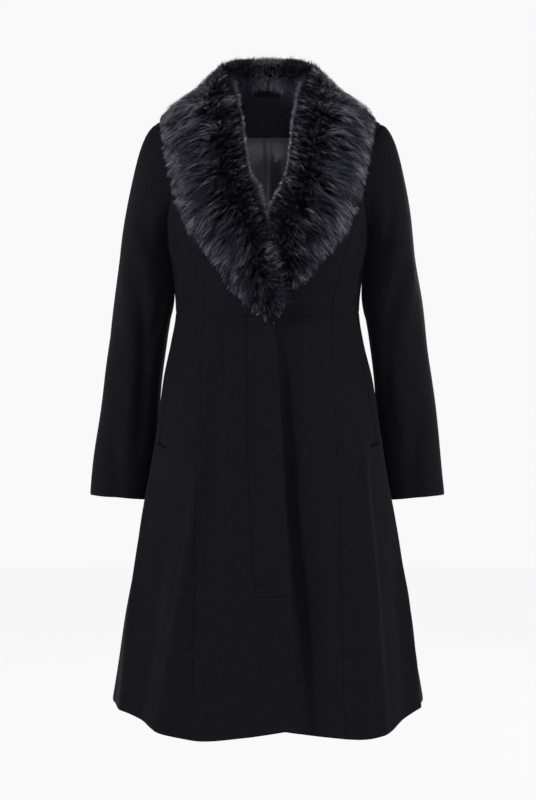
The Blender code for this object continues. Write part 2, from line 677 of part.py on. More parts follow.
def make_fly_placket():
    """The strip that hides the buttons, between the two skirt fronts."""
    z = np.linspace(PLACKET_FOOT_Z, PLACKET_TOP_Z, PLACKET_ROWS + 1)
    edge = read_table(FRONT_EDGES, "z", "right_edge", z)
    angle = spread(angle_at(edge - PLACKET_WIDTH, z), angle_at(edge - PLACKET_INSET, z), PLACKET_COLUMNS)
    z = np.broadcast_to(z[:, None], angle.shape)
    make_panel("fly_placket", angle, z, PLACKET_WALL, WOOL_FINISH, -WOOL - LAY_GAP)


def make_pocket_welts():
    """The narrow welts of the two slanted pockets."""
    share = np.linspace(0, 1, WELT_ROWS + 1)
    z = WELT_FOOT.z * (1 - share) + WELT_TOP.z * share
    back = np.radians(WELT_FOOT.degrees * (1 - share) + WELT_TOP.degrees * share)
    angle = spread(back - WELT_WIDTH, back, WELT_COLUMNS)
    z = np.broadcast_to(z[:, None], angle.shape)
    make_panel("pocket_welt_left", angle, z, WELT_WALL, WOOL_FINISH, WELT_WALL + LAY_GAP)
    make_panel("pocket_welt_right", -angle[:, ::-1], z, WELT_WALL, WOOL_FINISH, WELT_WALL + LAY_GAP)


def make_waist_hook():
    """The open wire ring of the hook, flat on the right front below the collar's end."""
    height = np.array(HOOK_Z)
    angle = angle_at(np.array(HOOK_X), height)
    middle = moved_out(angle, height, HOOK_WIRE + LAY_GAP)
    normal = body_normal(angle, height)
    across = unit(np.cross(np.array((0.0, 0.0, 1.0)), normal))
    up = np.cross(normal, across)
    curve = bpy.data.curves.new("waist_hook", "CURVE")
    curve.dimensions = "3D"
    curve.bevel_depth = HOOK_WIRE
    curve.bevel_resolution = HOOK_ROUNDNESS
    curve.use_fill_caps = True
    wire = curve.splines.new("POLY")
    wire.points.add(HOOK_STEPS)
    for point, turn in zip(wire.points, np.linspace(-HOOK_TURN / 2, HOOK_TURN / 2, HOOK_STEPS + 1)):
        place = middle + HOOK_RING * (up * math.cos(turn) + across * math.sin(turn))
        point.co = (*map(float, place), 1.0)
    material = bpy.data.materials.new("waist_hook")
    material.use_nodes = True
    shader = material.node_tree.nodes["Principled BSDF"]
    shader.inputs["Base Color"].default_value = (*METAL_FINISH.colour, 1.0)
    shader.inputs["Roughness"].default_value = METAL_FINISH.roughness
    shader.inputs["Metallic"].default_value = METAL_FINISH.metallic
    curve.materials.append(material)
    bpy.context.scene.collection.objects.link(bpy.data.objects.new("waist_hook", curve))


def main():
    """Builds every piece of the coat."""
    for old in list(bpy.data.objects):
        bpy.data.objects.remove(old)
    make_bodice()
    make_skirt()
    make_sleeves()
    make_collar()
    make_neck_inside()
    make_fly_placket()
    make_pocket_welts()
    make_waist_hook()


main()
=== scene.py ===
"""Looks of the a-line coat: creased cloth shells, fur, sewing, hook, light and camera.

Metres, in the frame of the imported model: +Z up, the front faces -Y, the wearer's left is +X. The
coat's body is one surface, read by an angle round it (0 at the centre front, 90 degrees at the
wearer's left, 180 at the centre back) and by a height. A table that is read as a curve has the
places along that curve in its first column.
"""
import math
from collections import namedtuple

import bpy
import numpy as np
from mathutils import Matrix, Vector


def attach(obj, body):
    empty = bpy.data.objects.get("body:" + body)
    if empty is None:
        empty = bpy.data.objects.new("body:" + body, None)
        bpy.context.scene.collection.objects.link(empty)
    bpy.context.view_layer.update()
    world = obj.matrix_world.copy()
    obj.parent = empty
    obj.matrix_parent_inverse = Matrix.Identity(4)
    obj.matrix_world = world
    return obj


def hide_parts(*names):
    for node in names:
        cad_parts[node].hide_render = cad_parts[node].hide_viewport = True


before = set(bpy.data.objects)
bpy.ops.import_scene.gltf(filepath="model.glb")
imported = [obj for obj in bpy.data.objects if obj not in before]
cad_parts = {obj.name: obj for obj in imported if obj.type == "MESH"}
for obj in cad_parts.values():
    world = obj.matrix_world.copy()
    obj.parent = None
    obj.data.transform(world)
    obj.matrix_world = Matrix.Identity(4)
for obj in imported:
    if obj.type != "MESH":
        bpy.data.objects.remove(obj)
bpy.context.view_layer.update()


def rows_of(kind, *rows):
    """A table, with its rows as named tuples of one kind."""
    return tuple(kind(*row) for row in rows)


# Walls and clearances
WOOL = 0.0020
FACING_WALL = 0.0015
SATIN_WALL = 0.0010
PLACKET_WALL = 0.0010
TAPE_WALL = 0.0010
WELT_WALL = 0.0009
PELT_WALL = 0.0015
SEAM_GAP = 0.0003
LAY_GAP = 0.0005         # between two layers
LAP_DROP = WOOL + PLACKET_WALL + 2 * LAY_GAP
LAP_MARGIN = 0.010       # how far past the right front's edge the left front stays under it
LAP_EASE = 0.035         # and the distance over which it then comes out

# Heights and armholes
NAPE_RISE = 0.026
SHOULDER_Z = -0.044
UNDERARM_Z = -0.236
ARMHOLE_Z = (SHOULDER_Z + UNDERARM_Z) / 2
ARMHOLE_HALF = (SHOULDER_Z - UNDERARM_Z) / 2
WAIST_Z = -0.360
WAIST_DIP = 0.010
NECKLINE_EASE = 1.6
ARMHOLE_FRONT = math.radians(30)
ARMHOLE_BACK = math.radians(32)
PRINCESS_TOP = 0.4       # where the long seam ends, as a share of the armhole's height in steps
PRINCESS_TIP = math.radians(0.6)

# Level sections of the coat's body
Section = namedtuple("Section", "z half_width front back middle_y square")
SECTIONS = rows_of(
    Section,
    (-1.060, 0.2675, 0.198, 0.212, -0.010, 0.00),
    (-0.880, 0.2385, 0.176, 0.186, -0.011, 0.00),
    (-0.680, 0.2050, 0.150, 0.155, -0.012, 0.00),
    (-0.474, 0.1740, 0.122, 0.122, -0.010, 0.01),
    (-0.410, 0.1612, 0.113, 0.108, -0.006, 0.02),
    (-0.360, 0.1546, 0.108, 0.100, -0.002, 0.03),
    (-0.300, 0.1600, 0.122, 0.106, 0.000, 0.04),
    (-0.240, 0.1690, 0.134, 0.112, 0.000, 0.05),
    (-0.200, 0.1750, 0.130, 0.114, 0.000, 0.05),
    (-0.140, 0.1800, 0.112, 0.110, 0.000, 0.04),
    (-0.080, 0.1860, 0.086, 0.099, 0.000, 0.02),
    (-0.044, 0.1880, 0.070, 0.088, 0.000, 0.01),
    (-0.030, 0.1510, 0.064, 0.081, 0.000, 0.00),
    (-0.012, 0.1040, 0.058, 0.073, 0.000, 0.00),
    (0.000, 0.0720, 0.055, 0.067, 0.000, 0.00),
    (0.030, 0.0600, 0.050, 0.061, 0.000, 0.00),
)

HemPoint = namedtuple("HemPoint", "degrees z")
HEM = rows_of(
    HemPoint,
    (0, -1.031),
    (15, -1.041),
    (30, -1.048),
    (42, -1.042),
    (55, -1.024),
    (68, -1.012),
    (90, -1.008),
    (135, -1.018),
    (180, -1.022),
)
HEM_TURN = 6.0           # degrees that the hem's middle lies to the wearer's left

Flute = namedtuple("Flute", "top_degrees hem_degrees half_width_degrees height")
FLUTES = rows_of(
    Flute,
    (36, 40, 15, 0.0075),
    (80, 66, 14, 0.0070),
    (-33, -42, 15, 0.0070),
    (-82, -65, 14, 0.0075),
    (112, 114, 14, 0.0080),
    (136, 139, 14, 0.0095),
    (166, 163, 14, 0.0085),
    (-110, -112, 14, 0.0085),
    (-138, -137, 14, 0.0090),
    (-162, -164, 14, 0.0080),
)
FLUTE_TOP_Z = -0.45
FLUTE_HEM_Z = -1.05
FLUTE_GROWTH = 1.2

# Distances of the front edges and of the long seam from the middle
EdgePoint = namedtuple("EdgePoint", "z right_edge left_edge")
FRONT_EDGES = rows_of(
    EdgePoint,
    (-1.060, 0.0535, -0.0015),
    (-0.720, 0.0325, -0.0225),
    (-0.360, 0.0112, -0.0438),
    (-0.300, 0.0060, -0.0350),
    (-0.250, -0.0030, -0.0150),
    (-0.2135, -0.0135, 0.0135),
    (-0.150, -0.0360, 0.0360),
    (-0.100, -0.0460, 0.0460),
    (-0.049, -0.0560, 0.0560),
    (0.000, -0.0690, 0.0690),
)

PrincessPoint = namedtuple("PrincessPoint", "z x")
PRINCESS_SEAM = rows_of(
    PrincessPoint,
    (-1.060, 0.1225),
    (-0.860, 0.1165),
    (-0.640, 0.1120),
    (-0.400, 0.1040),
    (-0.360, 0.1035),
    (-0.300, 0.1170),
    (-0.220, 0.1400),
    (-0.170, 0.1530),
)

# Left sleeve, below its head
SleeveRing = namedtuple("SleeveRing", "z inner outer middle_y half_depth")
SLEEVE_RINGS = rows_of(
    SleeveRing,
    (-0.672, 0.1985, 0.3015, 0.044, 0.045),
    (-0.575, 0.1885, 0.2900, 0.032, 0.051),
    (-0.474, 0.1790, 0.2764, 0.022, 0.057),
    (-0.400, 0.1695, 0.2655, 0.015, 0.061),
    (-0.335, 0.1608, 0.2573, 0.011, 0.065),
    (-0.265, 0.1675, 0.2475, 0.008, 0.070),
)
SLEEVE_TOP_Z = -0.265
CUFF_Z = -0.672
CUFF_TILT = math.radians(5)
HEAD_START = np.array((0.80, 0.0, -0.42))  # ways in which the head leaves the armhole and meets the arm
HEAD_END = np.array((0.10, 0.0, -0.99))
HEAD_START_PULL = 0.55
HEAD_END_PULL = 1.00
HEAD_UNDER = 0.5         # how far below its middle the armhole's underside begins, of half its height
HEAD_EASE = 0.008        # below the armhole, where the sleeve's own creases begin
SEAM_TUCK = 0.004        # a sleeve's allowance inside the armhole

# Fur collar, by rows from the nape to its end
CollarRow = namedtuple("CollarRow", "inner_deg inner_z outer_deg outer_z stand pile crown lip lean")
COLLAR_ROUND = rows_of(
    CollarRow,
    (180, 0.0275, 180, -0.112, 0.050, 0.034, 0.016, 0.020, 1.00),
    (150, 0.0240, 155, -0.107, 0.050, 0.034, 0.014, 0.020, 0.90),
    (118, 0.0135, 128, -0.082, 0.050, 0.034, 0.008, 0.020, 0.80),
    (104, 0.0075, 117, -0.044, 0.049, 0.029, 0.005, 0.021, 0.75),
    (94, 0.0035, 105, -0.037, 0.048, 0.026, 0.003, 0.021, 0.70),
    (82, -0.0005, 90, -0.036, 0.047, 0.026, 0.002, 0.021, 0.60),
    (58, -0.0060, 74, -0.040, 0.047, 0.029, 0.002, 0.020, 0.35),
    (36, -0.0140, 67, -0.053, 0.046, 0.033, 0.002, 0.018, 0.10),
    (23, -0.0300, 64, -0.066, 0.044, 0.033, 0.002, 0.016, 0.00),
    (16.5, -0.0490, 61, -0.085, 0.041, 0.033, 0.002, 0.014, 0.00),
    (14, -0.1000, 56, -0.135, 0.038, 0.033, 0.002, 0.013, 0.00),
    (12, -0.1500, 48.5, -0.195, 0.035, 0.032, 0.002, 0.012, 0.00),
)
COLLAR_RIGHT_END = rows_of(
    CollarRow,
    (9.0, -0.1840, 41.5, -0.238, 0.034, 0.032, 0.002, 0.012, 0.0),
    (5.0, -0.2150, 33.0, -0.268, 0.033, 0.031, 0.002, 0.013, 0.0),
    (-1.6, -0.2765, 21.0, -0.322, 0.032, 0.030, 0.002, 0.012, 0.0),
    (-7.0, -0.3350, 10.0, -0.352, 0.028, 0.026, 0.001, 0.010, 0.0),
    (-5.0, -0.3640, 1.0, -0.370, 0.018, 0.016, 0.000, 0.006, 0.0),
)
COLLAR_LEFT_END = rows_of(
    CollarRow,
    (8.0, -0.1840, 41.5, -0.238, 0.034, 0.032, 0.002, 0.012, 0.0),
    (3.6, -0.2150, 33.0, -0.268, 0.031, 0.030, 0.002, 0.009, 0.0),
    (5.8, -0.2650, 23.0, -0.304, 0.028, 0.026, 0.001, 0.001, 0.0),
    (9.0, -0.3000, 15.0, -0.322, 0.022, 0.020, 0.000, 0.001, 0.0),
)
COLLAR_RIM_HEIGHT = 0.25
COLLAR_FALL = 1.5
COLLAR_ROLL = 0.45       # shares of the width at which the stand has rolled over, and the crown ends
COLLAR_CROWN = 0.50
COLLAR_AHEAD = 0.02      # share of the width over which the way in to the neck is measured
LipPoint = namedtuple("LipPoint", "place out up")
COLLAR_LIP = rows_of(
    LipPoint,
    (0.00, 0.00, 0.02),
    (0.20, 0.75, 0.20),
    (0.45, 1.00, 0.50),
    (0.70, 0.80, 0.80),
    (0.88, 0.35, 0.98),
    (1.00, 0.00, 1.00),
)

# Creases of the cloth: a curve through three points, how wide it is and how far it stands out
# (a ridge) or in (a trough)
Crease = namedtuple("Crease", "deg_1 z_1 deg_2 z_2 deg_3 z_3 width height")
SKIRT_CREASES = rows_of(
    Crease,
    (56, -0.56, 50, -0.77, 41, -1.16, 0.010, 0.0070),
    (33, -0.66, 33, -0.90, 32, -1.16, 0.022, -0.0070),
    (83, -0.62, 75, -0.86, 65, -1.16, 0.011, 0.0064),
    (71, -0.72, 64, -0.90, 55, -1.16, 0.016, -0.0050),
    (-34, -0.58, -37, -0.82, -43, -1.16, 0.008, 0.0070),
    (-77, -0.62, -69, -0.86, -58, -1.16, 0.011, 0.0066),
    (-15.5, -0.38, -19.5, -0.52, -16.5, -0.80, 0.013, 0.0078),
    (-24, -0.40, -27, -0.56, -25, -0.74, 0.016, -0.0050),
    (-8.5, -0.42, -9.5, -0.55, -7.0, -0.72, 0.012, -0.0042),
    (-17, -0.395, -7, -0.386, 4, -0.394, 0.007, -0.0024),
    (-5, -0.832, 0, -0.833, 6.5, -0.830, 0.007, 0.0030),
    (0.5, -0.79, -2.5, -0.91, -12, -1.12, 0.016, -0.0065),
    (-27, -0.66, -29, -0.88, -32, -1.16, 0.020, -0.0066),
    (-52, -0.70, -51, -0.90, -50, -1.16, 0.020, -0.0060),
    (-6, -0.88, -8, -0.97, -5, -1.16, 0.014, 0.0046),
    (104, -0.60, 103, -0.84, 101, -1.16, 0.018, -0.0080),
    (125, -0.55, 126, -0.80, 127, -1.16, 0.017, -0.0090),
    (138, -0.62, 139, -0.84, 140, -1.16, 0.011, 0.0066),
    (151, -0.50, 151, -0.78, 150, -1.16, 0.018, -0.0085),
    (178, -0.58, 177, -0.84, 179, -1.16, 0.020, -0.0100),
    (-101, -0.64, -100, -0.86, -99, -1.16, 0.018, -0.0076),
    (-124, -0.56, -125, -0.80, -126, -1.16, 0.018, -0.0092),
    (-139, -0.60, -138, -0.84, -136, -1.16, 0.011, 0.0062),
    (-150, -0.52, -151, -0.80, -150, -1.16, 0.017, -0.0084),
)

# The left front falls back beside the right front's edge
LEFT_FRONT_CREASES = rows_of(
    Crease,
    (9.5, -0.37, 13, -0.72, 17.5, -1.18, 0.019, -0.0185),
    (19.5, -0.44, 24, -0.76, 27.0, -1.18, 0.017, 0.0040),
    (13, -0.76, 17, -0.86, 19.0, -1.02, 0.014, -0.0060),
)
BODICE_CREASES = rows_of(
    Crease,
    (-58.7, -0.222, -58.4, -0.275, -48.5, -0.328, 0.0070, -0.0052),
    (-63.5, -0.228, -64, -0.280, -55, -0.336, 0.0080, 0.0042),
    (61.2, -0.224, 60.2, -0.278, 49.5, -0.340, 0.0065, -0.0056),
    (66.0, -0.228, 66.0, -0.280, 56.5, -0.338, 0.0080, 0.0044),
    (-75, -0.262, -70, -0.292, -64, -0.322, 0.0090, -0.0040),
    (77, -0.258, 72, -0.290, 66, -0.318, 0.0090, -0.0038),
    (-30, -0.318, -33, -0.336, -34, -0.356, 0.0080, -0.0024),
    (33, -0.320, 36, -0.338, 37, -0.357, 0.0080, -0.0022),
    (118, -0.190, 123, -0.245, 134, -0.300, 0.0090, -0.0056),
    (-119, -0.200, -125, -0.250, -133, -0.305, 0.0085, -0.0058),
    (127, -0.210, 133, -0.262, 144, -0.312, 0.0100, 0.0042),
    (-128, -0.205, -134, -0.262, -143, -0.310, 0.0100, 0.0040),
    (112, -0.300, 130, -0.322, 152, -0.332, 0.0090, -0.0044),
    (-108, -0.306, -128, -0.326, -149, -0.338, 0.0085, -0.0042),
    (171, -0.120, 174, -0.190, 175, -0.280, 0.0140, -0.0036),
    (-168, -0.140, -172, -0.200, -174, -0.270, 0.0130, -0.0034),
)

# On a sleeve, 0 degrees is the outer side, -90 the front and 180 the side of the body
LEFT_SLEEVE_CREASES = rows_of(
    Crease,
    (-46, -0.250, -112, -0.405, -132, -0.520, 0.0110, -0.0086),
    (-28, -0.270, -88, -0.420, -108, -0.560, 0.0140, 0.0052),
    (-70, -0.120, -92, -0.200, -118, -0.285, 0.0110, -0.0054),
    (-150, -0.300, -138, -0.380, -125, -0.430, 0.0090, -0.0056),
    (-60, -0.500, -84, -0.590, -96, -0.700, 0.0140, -0.0050),
    (60, -0.330, 105, -0.395, 150, -0.420, 0.0095, -0.0070),
    (50, -0.400, 95, -0.445, 140, -0.455, 0.0085, -0.0060),
    (70, -0.180, 96, -0.250, 120, -0.320, 0.0120, -0.0050),
    (30, -0.420, 60, -0.520, 75, -0.620, 0.0140, 0.0044),
    (20, -0.170, 12, -0.300, 8, -0.420, 0.0160, 0.0034),
    (180, -0.205, 180, -0.287, 180, -0.370, 0.0180, 0.0056),
)
RIGHT_SLEEVE_CREASES = rows_of(
    Crease,
    (-62, -0.262, -110, -0.428, -117, -0.610, 0.0120, -0.0084),
    (-40, -0.280, -86, -0.440, -92, -0.640, 0.0150, 0.0050),
    (-74, -0.130, -95, -0.205, -112, -0.270, 0.0110, -0.0050),
    (-148, -0.290, -136, -0.360, -122, -0.415, 0.0090, -0.0056),
    (-66, -0.560, -80, -0.630, -88, -0.720, 0.0130, -0.0044),
    (62, -0.345, 104, -0.405, 148, -0.436, 0.0095, -0.0068),
    (46, -0.415, 90, -0.462, 138, -0.475, 0.0085, -0.0056),
    (74, -0.185, 98, -0.255, 118, -0.330, 0.0120, -0.0052),
    (34, -0.440, 58, -0.530, 70, -0.640, 0.0140, 0.0042),
    (18, -0.180, 14, -0.290, 6, -0.400, 0.0160, 0.0032),
    (180, -0.205, 180, -0.285, 180, -0.366, 0.0180, 0.0056),
)
LINING_CREASES = rows_of(
    Crease,
    (180, 0.020, 180, -0.100, 180, -0.300, 0.0024, 0.0018),
    (176.2, -0.085, 175.6, -0.140, 176.4, -0.260, 0.0050, -0.0060),
    (178.3, -0.075, 178.0, -0.120, 178.4, -0.220, 0.0030, 0.0022),
    (187, -0.090, 188, -0.150, 187, -0.260, 0.0120, -0.0028),
    (168, -0.100, 166, -0.160, 168, -0.270, 0.0110, -0.0026),
)
CREASE_STEPS = 28
CREASE_FADE = 0.7

# Slow unevenness of all the cloth: the wave's ways across and its height
Wave = namedtuple("Wave", "x y z phase height")
WAVES = rows_of(
    Wave,
    (38, 21, 9, 0.4, 0.00070),
    (-26, 33, 14, 1.9, 0.00075),
    (61, -17, 23, 3.1, 0.00045),
    (15, 47, -31, 4.4, 0.00050),
    (-72, 44, 37, 0.9, 0.00030),
)

# Rolled edges of the cloth at its seams
EDGE_SINK = 0.0008
EDGE_ROLL = 0.0030
EDGE_ROWS = (0.0008, 0.0019)

# Points of the cloth: how many spaces a panel has, and about how far they reach
Spacing = namedtuple("Spacing", "count length")
FRONT_COLUMNS = Spacing(32, 0.15)
SIDE_COLUMNS = Spacing(13, 0.05)
BACK_COLUMNS = Spacing(64, 0.38)
WAIST_ROWS = Spacing(22, UNDERARM_Z - WAIST_Z)
ARMHOLE_ROWS = 40
SHOULDER_ROWS = 13
NECK_EDGE_STEPS = (0.985, 0.995)  # closer rows beside the neckline
SKIRT_ROWS = Spacing(100, 0.67)
SKIRT_FRONT_COLUMNS = Spacing(30, 0.15)
SKIRT_SIDE_COLUMNS = Spacing(32, 0.16)
SKIRT_BACK_COLUMNS = Spacing(104, 0.50)
SLEEVE_HEAD_ROWS = Spacing(26, 0.15)
SLEEVE_ARM_ROWS = Spacing(66, SLEEVE_TOP_Z - CUFF_Z)
SLEEVE_COLUMNS = 80
NECK_COLUMNS = Spacing(40, 0.18)
FACING_ROWS = 26
LINING_ROWS = 64
LOOP_ROWS = 7
LOOP_COLUMNS = 29
PLACKET_ROWS = 66
PLACKET_COLUMNS = 9
WELT_ROWS = 34
WELT_COLUMNS = 7

# Inside of the neck, as shares of the back panel's width and rows of its solid
NECK_SHARES = (0.25, 0.75)
LOOP_SHARES = (0.375, 0.625)
SOLID_ROWS = (0, 5, 15, 19)       # waist, underarm, shoulder point and neckline
FACING_FOOT_ROW = 13.6
LINING_EASE = 0.0042     # how far the lining hangs away from the back
LINING_EASE_DEPTH = 0.04  # and how far below its top
CRISP_EDGE = math.radians(40)
LOOP_FOOT_Z = 0.0132
LOOP_TOP_Z = 0.0222
LOOP_BOW = 0.0030
LOOP_BOW_POWER = 0.6

# Fly, pockets and hook
PLACKET_WIDTH = 0.055
PLACKET_INSET = 0.003
PLACKET_TOP_Z = -0.378
PLACKET_FOOT_Z = -0.815
WeltEnd = namedtuple("WeltEnd", "degrees z")
WELT_TOP = WeltEnd(67.5, -0.437)
WELT_FOOT = WeltEnd(73.0, -0.583)
WELT_WIDTH = math.radians(2.6)
HOOK_X = 0.006
HOOK_Z = -0.381
HOOK_RING = 0.0042
HOOK_WIRE = 0.0010
HOOK_TURN = math.radians(300)
HOOK_STEPS = 49          # along the ring, and round its wire
WIRE_STEPS = 14
HOOK_BEAD = 0.0012
HOOK_BEAD_TURN = math.radians(65)
HOOK_BEAD_OUT = 0.4      # how far the bead stands out, of the wire's radius
BEAD_RINGS = 10
BEAD_TURNS = 16

# Sewing on the skirt: the placket's topstitching, and the close stitches at the pockets' ends
StitchLine = namedtuple("StitchLine", "deg_1 z_1 deg_2 z_2 deg_3 z_3 step length width height")
STITCH_LINES = rows_of(
    StitchLine,
    (-13.0, -0.368, -9.6, -0.600, -5.0, -0.818, 0.0034, 0.0027, 0.0010, 0.0006),
    (-5.0, -0.8200, 1.4, -0.8205, 7.4, -0.8190, 0.0034, 0.0031, 0.0016, 0.0008),
    (-71.4, -0.5780, -66.0, -0.5820, -60.7, -0.5850, 0.0011, 0.0010, 0.0024, 0.0022),
    (73.4, -0.5770, 67.8, -0.5810, 62.5, -0.5840, 0.0011, 0.0010, 0.0024, 0.0022),
)
STITCH_SAMPLES = 400
STITCH_TOP = 0.6         # of a stitch's length and width, at its top
STITCH_FACES = np.array(((3, 2, 1, 0), (4, 5, 6, 7), (0, 1, 5, 4), (1, 2, 6, 5), (2, 3, 7, 6), (3, 0, 4, 7)))

NORMAL_STEP = 0.0005
NORMAL_TURN = 0.005
ANGLE_PASSES = 8
UPRIGHT = np.array((0.0, 0.0, 1.0))

# Fur: locks of strands that stand on a pelt inside the collar's form. By halves: its side, its rows, the
# seed and lightness of its hair (the left half painted lighter, as painted light on that side), how far
# the hair at its end turns to the inner side and how much of its droop it has there, and where and how
# far the lip's hair closes the foot of the neck's opening
Half = namedtuple("Half", "name side rows seed light fan_turn tip_droop close_row close_reach")
HALVES = rows_of(
    Half,
    ("right", -1, COLLAR_ROUND + COLLAR_RIGHT_END, 41, 1.00, 1.55, 1.00, 12.2, 1.25),
    ("left", 1, COLLAR_ROUND + COLLAR_LEFT_END, 42, 1.12, 0.80, 0.35, 12.6, 0.72),
)
LOCKS_FALL = 11800       # long hair on the fall of both halves
LOCKS_UNDER = 2600       # shorter, darker hair between it
LOCKS_LIP = 3900         # on the inner face of both halves
STRANDS = 7              # in a lock
STRAND_PARTS = 3
STRAND_WIDTH = 0.00060
STRAND_WIDTHS = (0.7, 1.25)       # least and most, of that
STRAND_TAPER = 0.6
STRAND_ROLL = 0.5
LOCK_REACH = 0.0023      # radius of a lock at its root
LOCK_TIP = 0.40          # and at its tip, as a share of that
LOCK_TIP_BACK = 0.80     # and at the back, where the hair is fuzzier
BACK_END = 0.20          # station where the back's hair begins to change to the lapels'
BACK_RUN = 0.15          # and how far along it has changed
STRAY_SHARE = 0.10       # of the strands
FUR_SPLIT = 0.48         # station between the back's and the lapel's pieces
BACK_ROWS = (2.0, 3.4)   # of the collar's table, over which what holds at the back alone ends

# Pelt
PELT_DEPTH = 0.44        # of the collar's height
PELT_LIP_OUT = 0.45
PELT_LIP_PLACES = (0.02, 0.98)
PELT_STATIONS = 150
PELT_COLUMNS = 26
PELT_LIP_COLUMNS = 12

# Slow waving of the hair: waves along and across, and their share
FurWave = namedtuple("FurWave", "along across share")
FUR_WAVES = rows_of(
    FurWave,
    (14, 1.3, 0.6),
    (23, -2.1, 0.4),
)
WAVE_PHASE = 2.0
FUR_SWAY = 0.0075        # how far the waves move the tips along the collar
FUR_PATCHES = 0.55       # how far they lighten and darken the hair
PATCH_STRETCH = 0.8      # and how many such waves there are along, of the first ones
PATCH_PHASE = 1.0

# Tufts that the long hair gathers into
FUR_TUFTS = 58           # along a half, in each zone across it
TUFT_ZONES = 6
TUFT_TURN = 0.618        # how far the tufts of the next zone are set along
TUFT_PULL = 0.68         # how far the tips gather to the middle of their tuft
TUFT_LIGHT = 0.42        # how far the tufts differ by their lightness
TUFT_REACH = 0.006       # and by how far they reach out past the rim
TUFT_POINT = 0.008       # how far their sides fall short of their points there
TUFT_POINT_POWER = 1.5

# Fall, by rows of the collar's table: how far the hair hangs along the collar, how far it may pass the
# rim, how far it stands above the collar's form, how flat it lies at the rim and how light it is (lighter
# from the shoulders down the upper lapels: painted top light), where the pelt's rim and crest lie as
# parts of the collar's width and height, and the painted top light added at the parting
FurStation = namedtuple("FurStation", "row droop past_rim rise flat light rim crest glow")
FUR_STATIONS = rows_of(
    FurStation,
    (0.0, 0.000, 0.009, 0.0055, 0.0, 0.85, 0.94, 0.93, 0.00),
    (1.0, 0.001, 0.009, 0.0070, 0.0, 0.85, 0.94, 0.98, 0.00),
    (1.6, 0.001, 0.007, 0.0105, 0.0, 0.85, 0.94, 1.04, 0.03),
    (2.2, 0.001, 0.003, 0.009, 0.2, 0.85, 0.93, 1.00, 0.11),
    (3.0, 0.000, -0.002, 0.006, 0.7, 0.95, 0.91, 0.89, 0.19),
    (4.0, 0.000, -0.003, 0.004, 0.9, 1.15, 0.90, 0.80, 0.21),
    (5.0, 0.000, -0.003, 0.003, 0.9, 1.35, 0.90, 0.80, 0.22),
    (6.0, 0.000, -0.001, 0.002, 0.7, 1.40, 0.91, 0.80, 0.23),
    (7.0, 0.001, 0.006, 0.000, 0.3, 1.35, 0.92, 0.80, 0.20),
    (8.0, 0.001, 0.012, 0.000, 0.0, 1.15, 0.92, 0.80, 0.10),
    (9.0, 0.001, 0.017, 0.000, 0.0, 1.28, 0.92, 0.80, 0.03),
    (10.0, 0.002, 0.017, 0.000, 0.0, 1.24, 0.92, 0.80, 0.00),
    (11.0, 0.004, 0.015, 0.000, 0.0, 1.10, 0.92, 0.80, 0.00),
    (13.0, 0.008, 0.014, 0.000, 0.0, 0.64, 0.92, 0.80, 0.00),
    (15.0, 0.015, 0.012, 0.000, 0.0, 0.61, 0.92, 0.80, 0.00),
    (16.0, 0.012, 0.012, 0.000, 0.0, 0.61, 0.92, 0.80, 0.00),
)

# How far the hair leans across the collar, and how light its tips are, from the inner edge out; the
# light tips at the inner edge and the rim are partly the hair's grey tips and partly painted rim light
FurRow = namedtuple("FurRow", "share lean light")
FUR_ROWS = rows_of(
    FurRow,
    (-0.06, -0.012, 0.110),
    (-0.02, -0.012, 0.066),
    (0.02, -0.012, 0.034),
    (0.08, -0.010, 0.024),
    (0.17, -0.003, 0.023),
    (0.27, 0.010, 0.022),
    (0.36, 0.025, 0.040),
    (0.50, 0.035, 0.062),
    (0.62, 0.037, 0.050),
    (0.72, 0.036, 0.042),
    (0.82, 0.032, 0.066),
    (0.91, 0.026, 0.115),
    (0.98, 0.020, 0.140),
    (1.05, 0.014, 0.150),
)
FALL_GRID = (90, 24)     # points along and across it for the places of the locks
LENGTH_LEAST = 0.05      # of a half, where its lines draw together
CREST_SHARE = 0.20       # of the width, beside the crest
CREST_DENSITY = 2.5      # of the hair there at the back
CREST_LEAN = 0.016       # how far more it leans over to the outside there
CREST_PAINTED_TOP_LIGHT = 0.300      # painted top light, added to its lightness there
LEAN_SPREAD = 0.16
LEAN_STRAY = 0.0022
TIP_LEAN_SPREAD = 0.10
UNDER_LEAN = (0.003, 0.006)       # mean and spread
UNDER_LIGHT = 0.55       # of the long hair's
UNDER_HEIGHT = 0.90
SWAY_SPREAD = 0.0040
SWAY_CREST = 0.35        # of the sway, at the crest
SWAY_SHARE = 0.35        # of the width, from which on the hair sways freely
LOOSE_SPREAD = 0.0024    # of single tips
STRAY_LOOSE = 2.4        # times that for stray strands
STRAY_RISE = 0.0012      # how far these stand out
RAGGED_LOCKS = 0.003     # how far locks and strands fall short of the rim
RAGGED_STRANDS = 0.002
RUFFLE_LOCKS = 0.0018    # how far they stand up or lie down
RUFFLE_STRANDS = 0.0009
DROOP_SHARE = 0.25       # of the width, from which on the hair hangs fully
FLAT_SHARE = 0.70        # where the hair that lies flat at the rim begins to
ROOT_SINK = 0.002        # how far the roots stand in the pelt
BEND_HEIGHT = 0.9        # how high a strand bends over, of the height above the pelt
BEND_MORE = 0.004        # and above that
BEND_TO_TIP = 0.18
NAPE_MIX = 0.004         # how far the hair of both halves mixes at the nape
NAPE_MIX_STATION = 0.06
TIP_FAN = 0.025          # how far the hair spreads to both sides at the collar's end
TIP_FAN_ROWS = 3.5
GLOW_START = (0.05, 0.20)         # shares of the width between which the parting's painted top light comes
GLOW_END = (0.60, 0.82)           # and goes again
GLOW_EARLIER = 4.0       # how much earlier along a hair it turns light where the parting has painted top light
FUR_LIGHTENING = 1.7     # how late along a hair it turns light elsewhere
FALL_LIGHT_MOST = 0.40   # of a tip, before the lightness of its half
LOCK_LIGHT_SPREAD = 1.00
LOCK_LIGHT_MOST = 3.8
STRAND_LIGHT_SPREAD = 0.25
